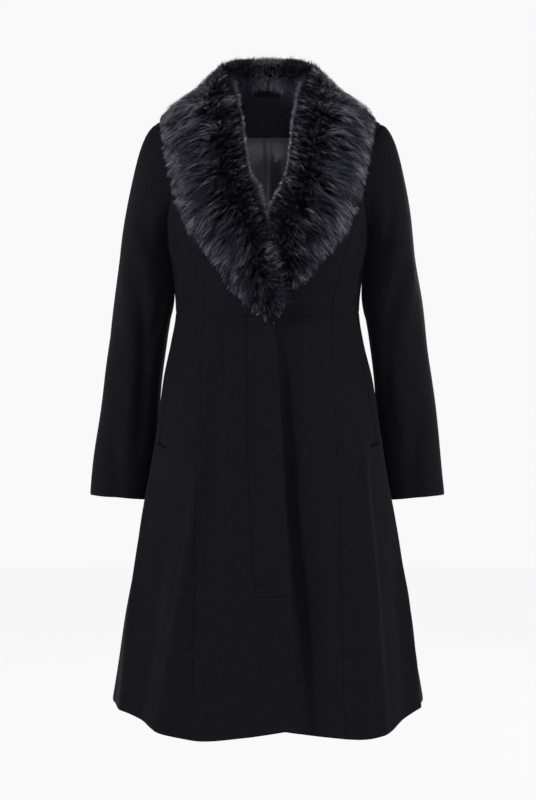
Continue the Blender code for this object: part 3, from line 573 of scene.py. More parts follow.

# Lip: the lightness of the hair by its place from the foot to the crest; partly its grey tips and partly
# painted light, since this hair faces in, away from the lamps
LipRow = namedtuple("LipRow", "place light")
LIP_ROWS = rows_of(
    LipRow,
    (0.0, 0.080),
    (0.22, 0.460),
    (0.42, 0.700),
    (0.56, 0.180),
    (0.70, 0.045),
    (1.0, 0.030),
)

# How far past the collar's form the lip's hair reaches in at the neck's sides, and its lightness there,
# partly painted light along the neck's edges
LipStation = namedtuple("LipStation", "row reach light")
LIP_STATIONS = rows_of(
    LipStation,
    (2.2, 0.00, 0.04),
    (3.4, 0.55, 0.05),
    (5.0, 0.55, 0.11),
    (6.0, 0.42, 0.30),
    (7.0, 0.30, 0.65),
    (8.5, 0.22, 0.90),
    (10.0, 0.00, 1.00),
    (12.4, 0.00, 0.90),
    (13.1, 0.00, 0.25),
)
LIP_GRID = (90, 12)      # points along and up it for the places of the locks
LIP_FOOT = 0.05          # lowest place of a lock
LIP_LEAST = 0.03         # and of a strand
LIP_WIDTH = 0.055        # from the foot to the crest
LIP_SWAY = 0.0030
LIP_PLACE_SPREAD = 0.02
LIP_REACH_SPREAD = (0.02, 0.10)   # mean and spread
LIP_UP_SPREAD = (0.0008, 0.0016)  # mean and spread
LIP_OVER_PELT = 0.03     # how far its tips stand over the pelt's crest, of the collar's height
LIP_BEND = 0.55
LIP_BEND_UP = 0.0025
LIP_FACING = 0.3
LIP_LIGHT_SPREAD = 0.35
LIP_DROOP = 0.013        # how far it hangs below this row, and the rows over which it comes to that
LIP_DROOP_ROW = 11.6
LIP_DROOP_ROWS = 1.5
LIP_BACK_DENSITY = 2.2   # of the lip's hair at the back
LIP_BACK_LEAN = 0.05     # how far it leans up there, of the lip's height
LIP_BACK_LIGHT = 0.150   # added to its lightness there
LIP_BACK_LIGHTENING = 0.6         # how late along a hair it turns light there
LIP_SIDE_PAINTED_SHADE = 0.25     # painted shade: the part of its lightness left there beside the lapels, from these distances on
LIP_SIDE_PAINTED_SHADE_X = (0.022, 0.034)
LIP_PAINTED_TOP_LIGHT = 2.2       # painted top light: how much lighter it is there near the crest, between these places
LIP_PAINTED_TOP_LIGHT_PLACES = (0.55, 0.85)
NAPE_FALL = 0.020        # how far the hair hangs inside the neck, beside the loop
NAPE_END = 0.16          # station where that begins to end, and how far along it has ended
NAPE_RUN = 0.18
NAPE_PLACE = 0.7         # place above which no hair hangs so
NAPE_LOOP = 0.020        # half the width that it leaves freer for the loop
NAPE_LOOP_EASE = 0.008
NAPE_LOOP_FALL = 0.80    # of the hair's fall, over the loop

# Colours of the strands
FUR_ROOT = (0.0020, 0.0020, 0.0044)
FUR_TINT = (0.95, 0.93, 1.06)
FUR_BLUE = (0.0, 0.0, 0.70)
FUR_BLUE_FADE = 0.08     # lightness at which most of the blue has faded

# Materials. A texture goes from a dark to a light place and colour. A finish has a fine texture, a wide
# one that darkens it in places, the shader's values and its bump.
Texture = namedtuple("Texture", "kind scale values dark light")
Bump = namedtuple("Bump", "distance strength")
Finish = namedtuple("Finish", "fine wide shader bump")
WHITE = (1.0, 1.0, 1.0)
FIBRES = {"Detail": 4, "Roughness": 0.65}
MOTTLE = Texture("TexNoise", 190, {"Detail": 4, "Roughness": 0.60},
                 (0.34, (0.60, 0.60, 0.62)), (0.66, WHITE))
CLOUD = Texture("TexNoise", 45, {"Detail": 3}, (0.30, (0.82, 0.82, 0.83)), (0.70, WHITE))
FLECKS = Texture("TexNoise", 420, {"Detail": 2}, (0.30, (0.72, 0.72, 0.74)), (0.70, WHITE))
MATT_NAP = {
    "Roughness": 0.86,
    "Specular IOR Level": 0.06,
    "Sheen Weight": 0.02,
    "Sheen Roughness": 0.45,
    "Sheen Tint": (0.75, 0.75, 0.85, 1),
}
FINISHES = {
    # Black brushed wool: short fibres, soft mottling and a matt nap
    "coat_wool": Finish(
        Texture("TexNoise", 1100, FIBRES,
                (0.30, (0.0038, 0.0035, 0.0058)), (0.70, (0.0096, 0.0090, 0.0136))),
        MOTTLE, MATT_NAP, Bump(0.0006, 0.35)),
    # The same wool on the back neck facing, in a lighter colour: painted light on the inside of the neck.
    "facing_wool_painted_light": Finish(
        Texture("TexNoise", 1100, FIBRES,
                (0.30, (0.0125, 0.0117, 0.0185)), (0.70, (0.0290, 0.0270, 0.0400))),
        MOTTLE, MATT_NAP, Bump(0.0006, 0.35)),
    # Charcoal lining satin: a fine weave with a soft gloss
    "lining_satin": Finish(
        Texture("TexNoise", 2200, {"Detail": 2},
                (0.35, (0.0420, 0.0405, 0.0510)), (0.65, (0.0620, 0.0600, 0.0750))),
        CLOUD, {"Roughness": 0.38, "Specular IOR Level": 0.28}, Bump(0.0002, 0.20)),
    # Black woven tape, with its ribs across
    "loop_tape": Finish(
        Texture("TexWave", 420, {"Distortion": 1.0},
                (0.2, (0.0036, 0.0035, 0.0052)), (0.8, (0.0080, 0.0078, 0.0106))),
        None, {"Roughness": 0.70, "Specular IOR Level": 0.05}, Bump(0.0002, 0.4)),
    # Black sewing thread, twisted
    "thread": Finish(
        Texture("TexNoise", 3000, {"Detail": 2},
                (0.3, (0.0022, 0.0021, 0.0032)), (0.7, (0.0046, 0.0043, 0.0064))),
        None, {"Roughness": 0.70, "Specular IOR Level": 0.05}, None),
    # Blackened wire and a lighter bead, with faint handling marks
    "hook_wire": Finish(
        Texture("TexNoise", 700, {"Detail": 3},
                (0.3, (0.010, 0.010, 0.012)), (0.7, (0.020, 0.020, 0.023))),
        None, {"Metallic": 1.0, "Roughness": 0.50}, None),
    "hook_bead": Finish(
        Texture("TexNoise", 700, {"Detail": 3},
                (0.3, (0.068, 0.068, 0.072)), (0.7, (0.095, 0.095, 0.098))),
        None, {"Metallic": 1.0, "Roughness": 0.30}, None),
    # Long hair, by the colours stored with the strands, and the close hair that it stands in, made
    # near-black as painted shade between the locks
    "collar_fur": Finish(None, FLECKS, {"Roughness": 0.48, "Specular IOR Level": 0.10}, None),
    "collar_pelt_and_shade": Finish(
        Texture("TexNoise", 900, {"Detail": 4, "Roughness": 0.7},
                (0.32, (0.0008, 0.0008, 0.0016)), (0.70, (0.0036, 0.0035, 0.0056))),
        None, {"Roughness": 0.80, "Specular IOR Level": 0.03}, Bump(0.0015, 0.60)),
}

# Cloth before it was sewn: the width and length of its cut, the area of that cut, how it is held
# and what it hangs from or lies on
Cut = namedtuple("Cut", "piece width length area held rests_on")
CUTS = rows_of(
    Cut,
    ("front_left", 0.20, 0.38, 0.0560, "hung", ("back",)),
    ("front_right", 0.19, 0.38, 0.0523, "hung", ("back", "front_left")),
    ("side_left", 0.10, 0.21, 0.0166, "hung", ("front_left", "back")),
    ("side_right", 0.10, 0.21, 0.0166, "hung", ("front_right", "back")),
    ("back", 0.42, 0.40, 0.1535, "hung", ("front_left", "front_right")),
    ("skirt_left", 0.18, 0.69, 0.1040, "hung", ("front_left",)),
    ("skirt_right", 0.18, 0.69, 0.1030, "hung", ("front_right", "skirt_left")),
    ("skirt_side_of_left", 0.23, 0.69, 0.1157, "hung", ("side_left",)),
    ("skirt_side_of_right", 0.23, 0.69, 0.1166, "hung", ("side_right",)),
    ("skirt_behind", 0.66, 0.68, 0.3940, "hung", ("back",)),
    ("arm_left", 0.33, 0.63, 0.1850, "hung", ("front_left", "back")),
    ("arm_right", 0.33, 0.63, 0.1850, "hung", ("front_right", "back")),
    ("neck_facing", 0.28, 0.085, 0.0152, "hung", ("back",)),
    ("lining", 0.26, 0.31, 0.0660, "hung", ("neck_facing",)),
    ("loop", 0.010, 0.048, None, "hung", ("neck_facing",)),
    ("placket", 0.0525, 0.4375, None, "hung", ("skirt_right",)),
    ("welt_left", 0.010, 0.15, 0.00095, "laid", ("skirt_side_of_left",)),
    ("welt_right", 0.010, 0.15, 0.00095, "laid", ("skirt_side_of_right",)),
    ("pelt_right", 0.17, 0.80, 0.0998, "folded", ("front_right", "back")),
    ("pelt_left", 0.17, 0.75, 0.0920, "folded", ("front_left", "back")),
)

# Camera, at the height and distance that give the photo's frame
FRAME_HEIGHT = 1.344
CAMERA_DISTANCE = 3.3
CAMERA_X = 0.0005
CAMERA_Z = -0.507
SENSOR = 36.0

# Floor and light
FLOOR_Z = -1.38
FLOOR_RADIUS = 7.0
FLOOR_STEPS = 96
FLOOR_COLOUR = 0.04
FLOOR_ROUGHNESS = 0.9
FLOOR_GLOW = 0.916
BACKGROUND = 0.947       # brightness of the surround where it is seen
SURROUND_LIGHT = 0.30    # and of the light that it gives
AreaLight = namedtuple("AreaLight", "name place target size watts")
AREA_LIGHTS = rows_of(
    AreaLight,
    ("key", (-2.9, -2.2, 1.2), (0.0, 0.0, -0.45), 1.1, 77),
    ("fill", (3.3, -0.9, 0.7), (0.0, 0.0, -0.45), 1.1, 58),
    ("front", (0.1, -3.6, 0.1), (0.0, 0.0, -0.4), 0.9, 28),
    ("left_rim", (-2.4, 1.3, 0.7), (0.0, 0.0, -0.4), 1.2, 8),
    ("right_rim", (2.4, 1.2, 0.7), (0.0, 0.0, -0.4), 1.2, 6),
    ("back", (1.5, 3.0, 0.9), (0.0, 0.0, -0.4), 1.1, 46),
)


# Tables and curves

def column(rows, name):
    """One named column of a table, as an array."""
    return np.array([getattr(row, name) for row in rows], float)


def hermite(t, start, leave, end, arrive):
    """The curve from start to end, as t goes from 0 to 1, with its directions at both ends."""
    near = (1 + 2 * t) * (1 - t) ** 2 * start + t * (1 - t) ** 2 * leave
    far = t * t * (3 - 2 * t) * end - t * t * (1 - t) * arrive
    return near + far


def curve_through(xs, ys, at):
    """The smooth curve through the points (xs, ys), with no overshoot, read at the places at."""
    step = np.diff(xs)
    slope = np.diff(ys) / step
    tangent = np.concatenate((slope[:1], np.zeros(len(ys) - 2), slope[-1:]))
    for i in range(1, len(ys) - 1):
        if slope[i - 1] * slope[i] > 0:
            tangent[i] = 2 * slope[i - 1] * slope[i] / (slope[i - 1] + slope[i])
    at = np.clip(at, xs[0], xs[-1])
    i = np.clip(np.searchsorted(xs, at) - 1, 0, len(step) - 1)
    t = (at - xs[i]) / step[i]
    return hermite(t, ys[i], step[i] * tangent[i], ys[i + 1], step[i] * tangent[i + 1])


def read_curve(rows, name, at):
    """One column of a table as a smooth curve, read at the places at."""
    return curve_through(column(rows, rows[0]._fields[0]), column(rows, name), at)


def read_lines(rows, name, at):
    """One column of a table as straight lines from row to row, read at the places at."""
    return np.interp(at, column(rows, rows[0]._fields[0]), column(rows, name))


def soft_step(t):
    """0 to 1 with level ends, as t goes from 0 to 1."""
    t = np.clip(t, 0, 1)
    return t * t * (3 - 2 * t)


def unit(vectors):
    """Vectors of length 1."""
    return vectors / np.maximum(np.linalg.norm(vectors, axis=-1, keepdims=True), 1e-12)


def turns(count):
    """Even turns round a circle."""
    return np.arange(count) * math.tau / count


# The coat's surface

def flute_height(angle, z):
    """How far the skirt's flutes stand out at each angle and height."""
    grown = np.clip((FLUTE_TOP_Z - z) / (FLUTE_TOP_Z - FLUTE_HEM_Z), 0, 1)
    total = np.zeros(np.shape(angle))
    for flute in FLUTES:
        middle = np.radians(flute.top_degrees + (flute.hem_degrees - flute.top_degrees) * grown)
        away = np.abs((angle - middle + math.pi) % math.tau - math.pi)
        share = np.clip(away / math.radians(flute.half_width_degrees), 0, 1)
        total += flute.height * grown ** FLUTE_GROWTH * np.cos(share * math.pi / 2) ** 2
    return total


def body(angle, z):
    """Points of the coat's outer surface."""
    columns = (read_curve(SECTIONS, name, z) for name in Section._fields[1:])
    half_width, front, back, middle_y, square = columns
    depth = np.where(np.cos(angle) > 0, front, back)
    grow = 1 + square * np.sin(2 * angle) ** 2
    x = half_width * np.sin(angle) * grow
    y = middle_y - depth * np.cos(angle) * grow
    outward = np.stack((np.sin(angle) / half_width, -np.cos(angle) / depth, 0 * z), axis=-1)
    return np.stack((x, y, z), axis=-1) + unit(outward) * flute_height(angle, z)[..., None]


def body_normal(angle, z):
    """Outward normals of the coat's outer surface."""
    across = body(angle + NORMAL_TURN, z) - body(angle - NORMAL_TURN, z)
    up = body(angle, z + NORMAL_STEP) - body(angle, z - NORMAL_STEP)
    return unit(np.cross(across, up))


def moved_out(angle, z, out):
    """Points at a distance outside the coat's surface, or inside it where out is negative."""
    return body(angle, z) + body_normal(angle, z) * np.asarray(out)[..., None]


def angle_at(x, z):
    """The angle on the front of the coat at a distance x from the middle."""
    half_width = read_curve(SECTIONS, "half_width", z)
    square = read_curve(SECTIONS, "square", z)
    angle = np.arcsin(np.clip(x / half_width, -1, 1))
    for _ in range(ANGLE_PASSES):
        grow = 1 + square * np.sin(2 * angle) ** 2
        angle = np.arcsin(np.clip(x / (half_width * grow), -1, 1))
    return angle


def neckline_z(angle):
    """Height of the neckline, which rises to the nape."""
    return NAPE_RISE * np.clip(-np.cos(angle), 0, 1)


def waist_z(angle):
    """Height of the waist seam, which dips at the front."""
    return WAIST_Z - WAIST_DIP * np.clip(np.cos(angle), 0, 1)


def hem_z(angle):
    """Height of the hem."""
    degrees = np.degrees((angle + math.pi) % math.tau - math.pi)
    degrees = np.abs(degrees - HEM_TURN * np.clip(np.cos(angle), 0, 1))
    return read_curve(HEM, "z", degrees)


def right_edge(z):
    """Angle of the right front's edge, which lies on top."""
    return angle_at(read_curve(FRONT_EDGES, "right_edge", z), z)


def left_edge(z):
    """Angle of the left front's edge, which lies underneath."""
    return angle_at(read_curve(FRONT_EDGES, "left_edge", z), z)


def princess(z):
    """Angle of the long seam on the wearer's left."""
    return angle_at(read_curve(PRINCESS_SEAM, "x", z), z)


def under_lap(angle, z):
    """How far the left front lies inside the surface, under the right front."""
    past = body(angle, z)[..., 0] - read_curve(FRONT_EDGES, "right_edge", z) - LAP_MARGIN
    return -LAP_DROP * (1 - soft_step(past / LAP_EASE))


# Making meshes

def linked(name, data):
    """An object in the scene, with its mesh, lamp or camera."""
    made = bpy.data.objects.new(name, data)
    bpy.context.scene.collection.objects.link(made)
    return made


def new_piece(name, mesh, material, node=None):
    """A piece that rides with the coat and has one material, in the place of a node if one is given."""
    mesh.materials.append(material)
    made = linked(name, mesh)
    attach(made, "root")
    if node:
        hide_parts(node)
    return made


def mesh_from_arrays(name, points, faces):
    """A smooth mesh from an array of points and a list of arrays of faces."""
    mesh = bpy.data.meshes.new(name)
    mesh.vertices.add(len(points))
    mesh.vertices.foreach_set("co", np.ascontiguousarray(points, np.float32).ravel())
    corners = np.concatenate([f.ravel() for f in faces])
    counts = np.concatenate([np.full(len(f), f.shape[1]) for f in faces])
    starts = np.concatenate(([0], np.cumsum(counts)[:-1]))
    mesh.loops.add(len(corners))
    mesh.loops.foreach_set("vertex_index", corners.astype(np.int32))
    mesh.polygons.add(len(counts))
    mesh.polygons.foreach_set("loop_start", starts.astype(np.int32))
    mesh.update(calc_edges=True)
    mesh.validate()
    mesh.shade_smooth()
    return mesh


def quads(*corners):
    """Faces from four arrays of corners."""
    return np.stack(corners, axis=-1).reshape(-1, 4)


def drawn_in(grid):
    """A grid of points whose edges are drawn in by half a seam's gap."""
    grid = grid.copy()
    for lines in (grid, grid.swapaxes(0, 1)):
        lines[0] += unit(lines[1] - lines[0]) * SEAM_GAP / 2
        lines[-1] += unit(lines[-2] - lines[-1]) * SEAM_GAP / 2
    return grid


def wall_mesh(name, outer, inner, closed=False):
    """A wall of cloth between two grids of points. A closed one is a tube round its columns."""
    rows, columns = outer.shape[:2]
    far = rows * columns
    index = np.arange(far).reshape(rows, columns)
    if closed:
        index = np.hstack((index, index[:, :1]))
    a, b, c, d = index[:-1, :-1], index[:-1, 1:], index[1:, 1:], index[1:, :-1]
    rim = [(index[0, :-1], index[0, 1:]), (index[-1, 1:], index[-1, :-1])]
    if not closed:
        rim += [(index[:-1, -1], index[1:, -1]), (index[1:, 0], index[:-1, 0])]
    faces = [quads(a, b, c, d), quads(d, c, b, a) + far]
    faces += [quads(two, one, one + far, two + far) for one, two in rim]
    return mesh_from_arrays(name, np.concatenate((outer.reshape(-1, 3), inner.reshape(-1, 3))), faces)


def run_along(grid, axis=0):
    """How far along the cloth each point is from the start of its line, for the lines of one axis."""
    step = np.linalg.norm(np.diff(grid, axis=axis), axis=-1)
    return np.insert(np.cumsum(step, axis=axis), 0, 0.0, axis=axis)


def edge_sink(grid, closed=False):
    """How far the cloth's face rolls down towards its edges. A closed tube has edges at its ends alone."""
    away = np.inf
    for axis in (0,) if closed else (0, 1):
        run = run_along(grid, axis)
        away = np.minimum(away, np.minimum(run, run.max(axis=axis, keepdims=True) - run))
    return EDGE_SINK * (1 - soft_step(away / EDGE_ROLL))


def close_shares(count, length):
    """Even shares from 0 to 1 over a length, with more beside each end for the rolled edge."""
    near = np.array(EDGE_ROWS) / length
    even = np.linspace(0, 1, count + 1)[1:-1]
    return np.concatenate(([0], near, even, 1 - near[::-1], [1]))


def spread(start, end, shares):
    """Rows of values that go from each start to each end by the shares."""
    return start[:, None] * (1 - shares) + end[:, None] * shares


# Creases

def through_three(line, steps):
    """Angles and heights along a curve through a line's three points."""
    t = np.linspace(0, 1, steps)
    weights = np.stack(((1 - t) * (1 - 2 * t), 4 * t * (1 - t), t * (2 * t - 1)), axis=-1)
    degrees, z = (weights @ np.reshape(line[:6], (3, 2))).T
    return np.radians(degrees), z


def crease_lift(points, creases, surface):
    """How far the creases move each point. The surface gives points for angles and heights."""
    flat = points.reshape(-1, 3)
    every = np.arange(len(flat))
    lift = np.zeros(len(flat))
    for crease in creases:
        line = surface(*through_three(crease, CREASE_STEPS))
        start, step = line[:-1], np.diff(line, axis=0)
        length = (step ** 2).sum(axis=-1)
        along = flat @ step.T - (start * step).sum(axis=-1)
        share = np.clip(along / length, 0, 1)
        to_start = (flat ** 2).sum(axis=-1)[:, None] - 2 * flat @ start.T + (start ** 2).sum(axis=-1)
        away = to_start - 2 * share * along + share ** 2 * length
        nearest = away.argmin(axis=1)
        place = (nearest + share[every, nearest]) / len(step)
        fade = np.sin(math.pi * place).clip(0, 1) ** CREASE_FADE
        lift += crease.height * fade * np.exp(-away[every, nearest] / crease.width ** 2)
    return lift.reshape(points.shape[:-1])


def unevenness(points):
    """The slow unevenness of hanging cloth."""
    total = np.zeros(points.shape[:-1])
    for wave in WAVES:
        way = points[..., 0] * wave.x + points[..., 1] * wave.y + points[..., 2] * wave.z
        total += wave.height * np.sin(way + wave.phase)
    return total


def cloth_lift(angle, z, creases):
    """How far creases and unevenness move the cloth on the coat's surface."""
    base = body(angle, z)
    return crease_lift(base, creases, body) + unevenness(base)


def cloth(name, node, angle, z, wall, material, out=0.0, creases=()):
    """A panel of cloth on its solid's form, with its creases, in the place of a node.

    The outer face stops just short of the seams, and the inner faces of two panels meet there.
    """
    lift = out + cloth_lift(angle, z, creases)
    face = moved_out(angle, z, lift)
    outer = drawn_in(moved_out(angle, z, lift - edge_sink(face)))
    inner = moved_out(angle, z, lift - wall)
    return new_piece(name, wall_mesh(name, outer, inner), material, node)


# Materials

def set_values(node, values):
    """Sets constant values on a node's sockets."""
    for socket, value in values.items():
        node.inputs[socket].default_value = value


def add_node(tree, kind, values, links, **options):
    """A new node with its options, constant values on its sockets and outputs linked to them."""
    node = tree.nodes.new("ShaderNode" + kind)
    for name, option in options.items():
        setattr(node, name, option)
    set_values(node, values)
    for socket, output in links.items():
        tree.links.new(output, node.inputs[socket])
    return node


def shader_of(name, values):
    """A new material, its nodes and its shader with constant values."""
    material = bpy.data.materials.new(name)
    material.use_nodes = True
    shader = material.node_tree.nodes["Principled BSDF"]
    set_values(shader, values)
    return material, material.node_tree, shader


def add_texture(tree, texture):
    """A texture in the object's own metres, as a height and as a colour."""
    place = add_node(tree, "TexCoord", {}, {})
    values = {"Scale": texture.scale, **texture.values}
    pattern = add_node(tree, texture.kind, values, {"Vector": place.outputs["Object"]})
    ramp = add_node(tree, "ValToRGB", {}, {"Fac": pattern.outputs["Fac"]})
    for stop, (position, colour) in zip(ramp.color_ramp.elements, (texture.dark, texture.light)):
        stop.position = position
        stop.color = (*colour, 1)
    return pattern.outputs["Fac"], ramp.outputs["Color"]


def make_material(name):
    """The material of a finish. One with no fine texture takes the colours stored with the strands."""
    finish = FINISHES[name]
    material, tree, shader = shader_of(name, finish.shader)
    if finish.fine:
        height, colour = add_texture(tree, finish.fine)
    else:
        colour = add_node(tree, "Attribute", {}, {}, attribute_name="tint").outputs["Color"]
    if finish.wide:
        _, shade = add_texture(tree, finish.wide)
        mix = add_node(tree, "Mix", {"Factor": 1.0}, {"A": colour, "B": shade},
                       data_type="RGBA", blend_type="MULTIPLY")
        colour = mix.outputs["Result"]
    tree.links.new(colour, shader.inputs["Base Color"])
    if finish.bump:
        values = {"Strength": finish.bump.strength, "Distance": finish.bump.distance}
        bump = add_node(tree, "Bump", values, {"Height": height})
        tree.links.new(bump.outputs["Normal"], shader.inputs["Normal"])
    return material


# Panels of the coat

def bodice_rows():
    """Rows of the bodice from the waist up, each as a stage and a step in it."""
    low = close_shares(*WAIST_ROWS)[:-1 - len(EDGE_ROWS)]
    hole = np.linspace(0, 1, ARMHOLE_ROWS + 1)
    high = np.sort(np.concatenate((np.linspace(0, 1, SHOULDER_ROWS + 1)[1:], NECK_EDGE_STEPS)))
    return [(stage, step) for stage, steps in enumerate((low, hole, high)) for step in steps]


def armhole_width(stage, step):
    """How wide the armhole is at a row, from 0 to 1."""
    return math.sin(math.pi * step) if stage == 1 else 0.0


def row_height(stage, step, angle, top):
    """Heights of the points of a bodice row."""
    if stage == 0:
        return waist_z(angle) * (1 - step) + UNDERARM_Z * step
    if stage == 1:
        return np.full(angle.shape, ARMHOLE_Z - ARMHOLE_HALF * math.cos(math.pi * step))
    share = 1 - (1 - step) ** NECKLINE_EASE
    return SHOULDER_Z * (1 - share) + top(angle) * share


def make_bodice(wool):
    """The five panels above the waist seam."""
    rows = bodice_rows()
    hole = np.array([armhole_width(*row) for row in rows])
    side = np.full(1, math.pi / 2)
    z = np.array([row_height(*row, side, np.zeros_like)[0] for row in rows])
    front, back = side - ARMHOLE_FRONT * hole, side + ARMHOLE_BACK * hole
    tip = next(i for i, row in enumerate(rows) if row >= (1, PRINCESS_TOP))
    seam = np.where(np.arange(len(rows)) < tip, princess(z), front)
    seam[tip] -= PRINCESS_TIP
    low = slice(tip + 1)
    panels = (
        ("front_left", left_edge(z), seam, FRONT_COLUMNS),
        ("front_right", -seam, right_edge(z), FRONT_COLUMNS),
        ("side_left", seam[low], front[low], SIDE_COLUMNS),
        ("side_right", -front[low], -seam[low], SIDE_COLUMNS),
        ("back", back, math.tau - back, BACK_COLUMNS),
    )
    for name, start, end, columns in panels:
        angle = spread(start, end, close_shares(*columns))
        top = neckline_z if name == "back" else np.zeros_like
        heights = np.array([row_height(*row, angles, top) for row, angles in zip(rows, angle)])
        lap = under_lap(angle, heights) if name == "front_left" else 0.0
        cloth(name, f"bodice_{name}", angle, heights, WOOL, wool, lap, BODICE_CREASES)


def make_skirt(wool):
    """The five panels below the waist seam."""
    share = close_shares(*SKIRT_ROWS)
    guide = hem_z(math.pi / 2) * (1 - share) + WAIST_Z * share
    share = share[:, None]
    seam = princess(guide)
    side = np.full(len(guide), math.pi / 2)
    left = SKIRT_CREASES + LEFT_FRONT_CREASES
    panels = (
        ("skirt_left", "skirt_front_left", left_edge(guide), seam, SKIRT_FRONT_COLUMNS, left),
        ("skirt_right", "skirt_front_right", -seam, right_edge(guide), SKIRT_FRONT_COLUMNS, SKIRT_CREASES),
        ("skirt_side_of_left", "skirt_side_left", seam, side, SKIRT_SIDE_COLUMNS, left),
        ("skirt_side_of_right", "skirt_side_right", -side, -seam, SKIRT_SIDE_COLUMNS, SKIRT_CREASES),
        ("skirt_behind", "skirt_back", side, math.tau - side, SKIRT_BACK_COLUMNS, SKIRT_CREASES),
    )
    for name, node, start, end, columns, creases in panels:
        angle = spread(start, end, close_shares(*columns))
        z = hem_z(angle) * (1 - share) + waist_z(angle) * share
        lap = under_lap(angle, z) if name == "skirt_left" else 0.0
        cloth(name, node, angle, z, WOOL, wool, lap, creases)


def tube_normals(grid):
    """Outward normals of a tube of rings that run down an arm."""
    along = np.gradient(grid, axis=0)
    around = np.roll(grid, -1, axis=1) - np.roll(grid, 1, axis=1)
    normal = unit(np.cross(along, around))
    outward = grid - grid.mean(axis=1, keepdims=True)
    return normal * np.sign((normal * outward).sum(axis=-1).sum())


def arm_point(turn, z):
    """Points of the left sleeve's arm at turns round it and heights."""
    inner, outer, middle_y, depth = (read_curve(SLEEVE_RINGS, name, z) for name in SleeveRing._fields[1:])
    tilt = CUFF_TILT * np.clip((SLEEVE_TOP_Z - z) / (SLEEVE_TOP_Z - CUFF_Z), 0, 1)
    reach = (outer - inner) / 2 * np.cos(turn)
    x, y = (inner + outer) / 2 + reach, middle_y + depth * np.sin(turn)
    return np.stack((x, y, z + np.tan(tilt) * reach), axis=-1)


def armhole_ring(out, side):
    """Points round an armhole, outside the creased bodice by out. The right one is given mirrored."""
    turn = turns(SLEEVE_COLUMNS)
    reach = np.where(np.sin(turn) > 0, ARMHOLE_BACK, ARMHOLE_FRONT)
    angle = side * (math.pi / 2 + reach * np.sin(turn))
    z = ARMHOLE_Z + ARMHOLE_HALF * np.cos(turn)
    return moved_out(angle, z, out + cloth_lift(angle, z, BODICE_CREASES)) * np.array((side, 1.0, 1.0))


def sleeve_face(hole):
    """Grid of a left sleeve's outer face, from a ring of points at the armhole to the cuff."""
    turn = turns(SLEEVE_COLUMNS)
    shares = np.concatenate(([0], close_shares(*SLEEVE_ARM_ROWS)[len(EDGE_ROWS) + 1:]))
    z = SLEEVE_TOP_Z + (CUFF_Z - SLEEVE_TOP_Z) * shares
    arm = arm_point(turn, np.repeat(z[:, None], SLEEVE_COLUMNS, axis=1))
    length = np.linalg.norm(arm[0] - hole, axis=-1)[:, None]
    below = soft_step((-np.cos(turn) - HEAD_UNDER) / (1 - HEAD_UNDER))[:, None]
    leave = HEAD_START * (1 - below) + HEAD_END * below
    t = close_shares(*SLEEVE_HEAD_ROWS)[:-1 - len(EDGE_ROWS), None, None]
    head = hermite(t, hole, HEAD_START_PULL * length * leave, arm[0], HEAD_END_PULL * length * HEAD_END)
    return np.concatenate((head, arm))


def make_sleeves(wool):
    """The two set-in sleeves, each with its own creases. The right one is mirrored from a left one."""
    for name, node, creases, side in (("arm_left", "sleeve_left", LEFT_SLEEVE_CREASES, 1),
                                      ("arm_right", "sleeve_right", RIGHT_SLEEVE_CREASES, -1)):
        mirror = np.array((side, 1.0, 1.0))
        face = sleeve_face(armhole_ring(SEAM_GAP, side))
        tuck = armhole_ring(-SEAM_TUCK, side)[None] + HEAD_START * SEAM_GAP
        normal = tube_normals(face)
        lift = crease_lift(face, creases, arm_point) + unevenness(face * mirror)
        lift = lift * soft_step(run_along(face) / HEAD_EASE)
        outer = face + normal * (lift - edge_sink(face, closed=True))[..., None]
        inner = face + normal * (lift - WOOL)[..., None]
        outer = np.concatenate((tuck, outer))[::-1, ::side] * mirror
        inner = np.concatenate((tuck + HEAD_START * WOOL, inner))[::-1, ::side] * mirror
        new_piece(name, wall_mesh(name, outer, inner, closed=True), wool, node)


def neck_rows(rows, shares):
    """Angles and heights of a layer inside the back, at rows of its solid and shares of its width."""
    angle, z = [], []
    for row in rows:
        stage = max(np.searchsorted(SOLID_ROWS, row) - 1, 0)
        step = (row - SOLID_ROWS[stage]) / (SOLID_ROWS[stage + 1] - SOLID_ROWS[stage])
        side = math.pi / 2 + ARMHOLE_BACK * armhole_width(stage, step)
        angle.append(side + (math.tau - 2 * side) * shares)
        z.append(row_height(stage, step, angle[-1], neckline_z))
    return np.array(angle), np.array(z)


def make_neck_inside(wool, satin):
    """The back neck facing and the back lining below it."""
    low, high = NECK_SHARES
    shares = low + (high - low) * close_shares(*NECK_COLUMNS)
    depth = WOOL + LAY_GAP
    angle, z = neck_rows(np.linspace(FACING_FOOT_ROW, SOLID_ROWS[-1], FACING_ROWS), shares)
    cloth("neck_facing", "back_neck_facing", angle, z, FACING_WALL, wool, -depth)
    angle, z = neck_rows(np.linspace(0, FACING_FOOT_ROW, LINING_ROWS), shares)
    eased = -depth - LINING_EASE * soft_step((z.max(axis=0) - z) / LINING_EASE_DEPTH)
    lining = cloth("lining", "lining_back", angle, z, SATIN_WALL, satin, eased, LINING_CREASES)
    lining.data.set_sharp_from_angle(angle=CRISP_EDGE)


def make_loop(tape):
    """The hanger loop, which bows away from the neck facing."""
    share = np.linspace(0, 1, LOOP_COLUMNS)
    low, high = LOOP_SHARES
    heights = np.linspace(LOOP_FOOT_Z, LOOP_TOP_Z, LOOP_ROWS)
    z, angle = np.meshgrid(heights, math.pi / 2 + math.pi * (low + (high - low) * share), indexing="ij")
    bow = LOOP_BOW * np.sin(math.pi * share) ** LOOP_BOW_POWER
    out = np.broadcast_to(-(WOOL + FACING_WALL + 2 * LAY_GAP) - bow, angle.shape)
    mesh = wall_mesh("loop", moved_out(angle, z, out), moved_out(angle, z, out - TAPE_WALL))
    new_piece("loop", mesh, tape, "hanger_loop")


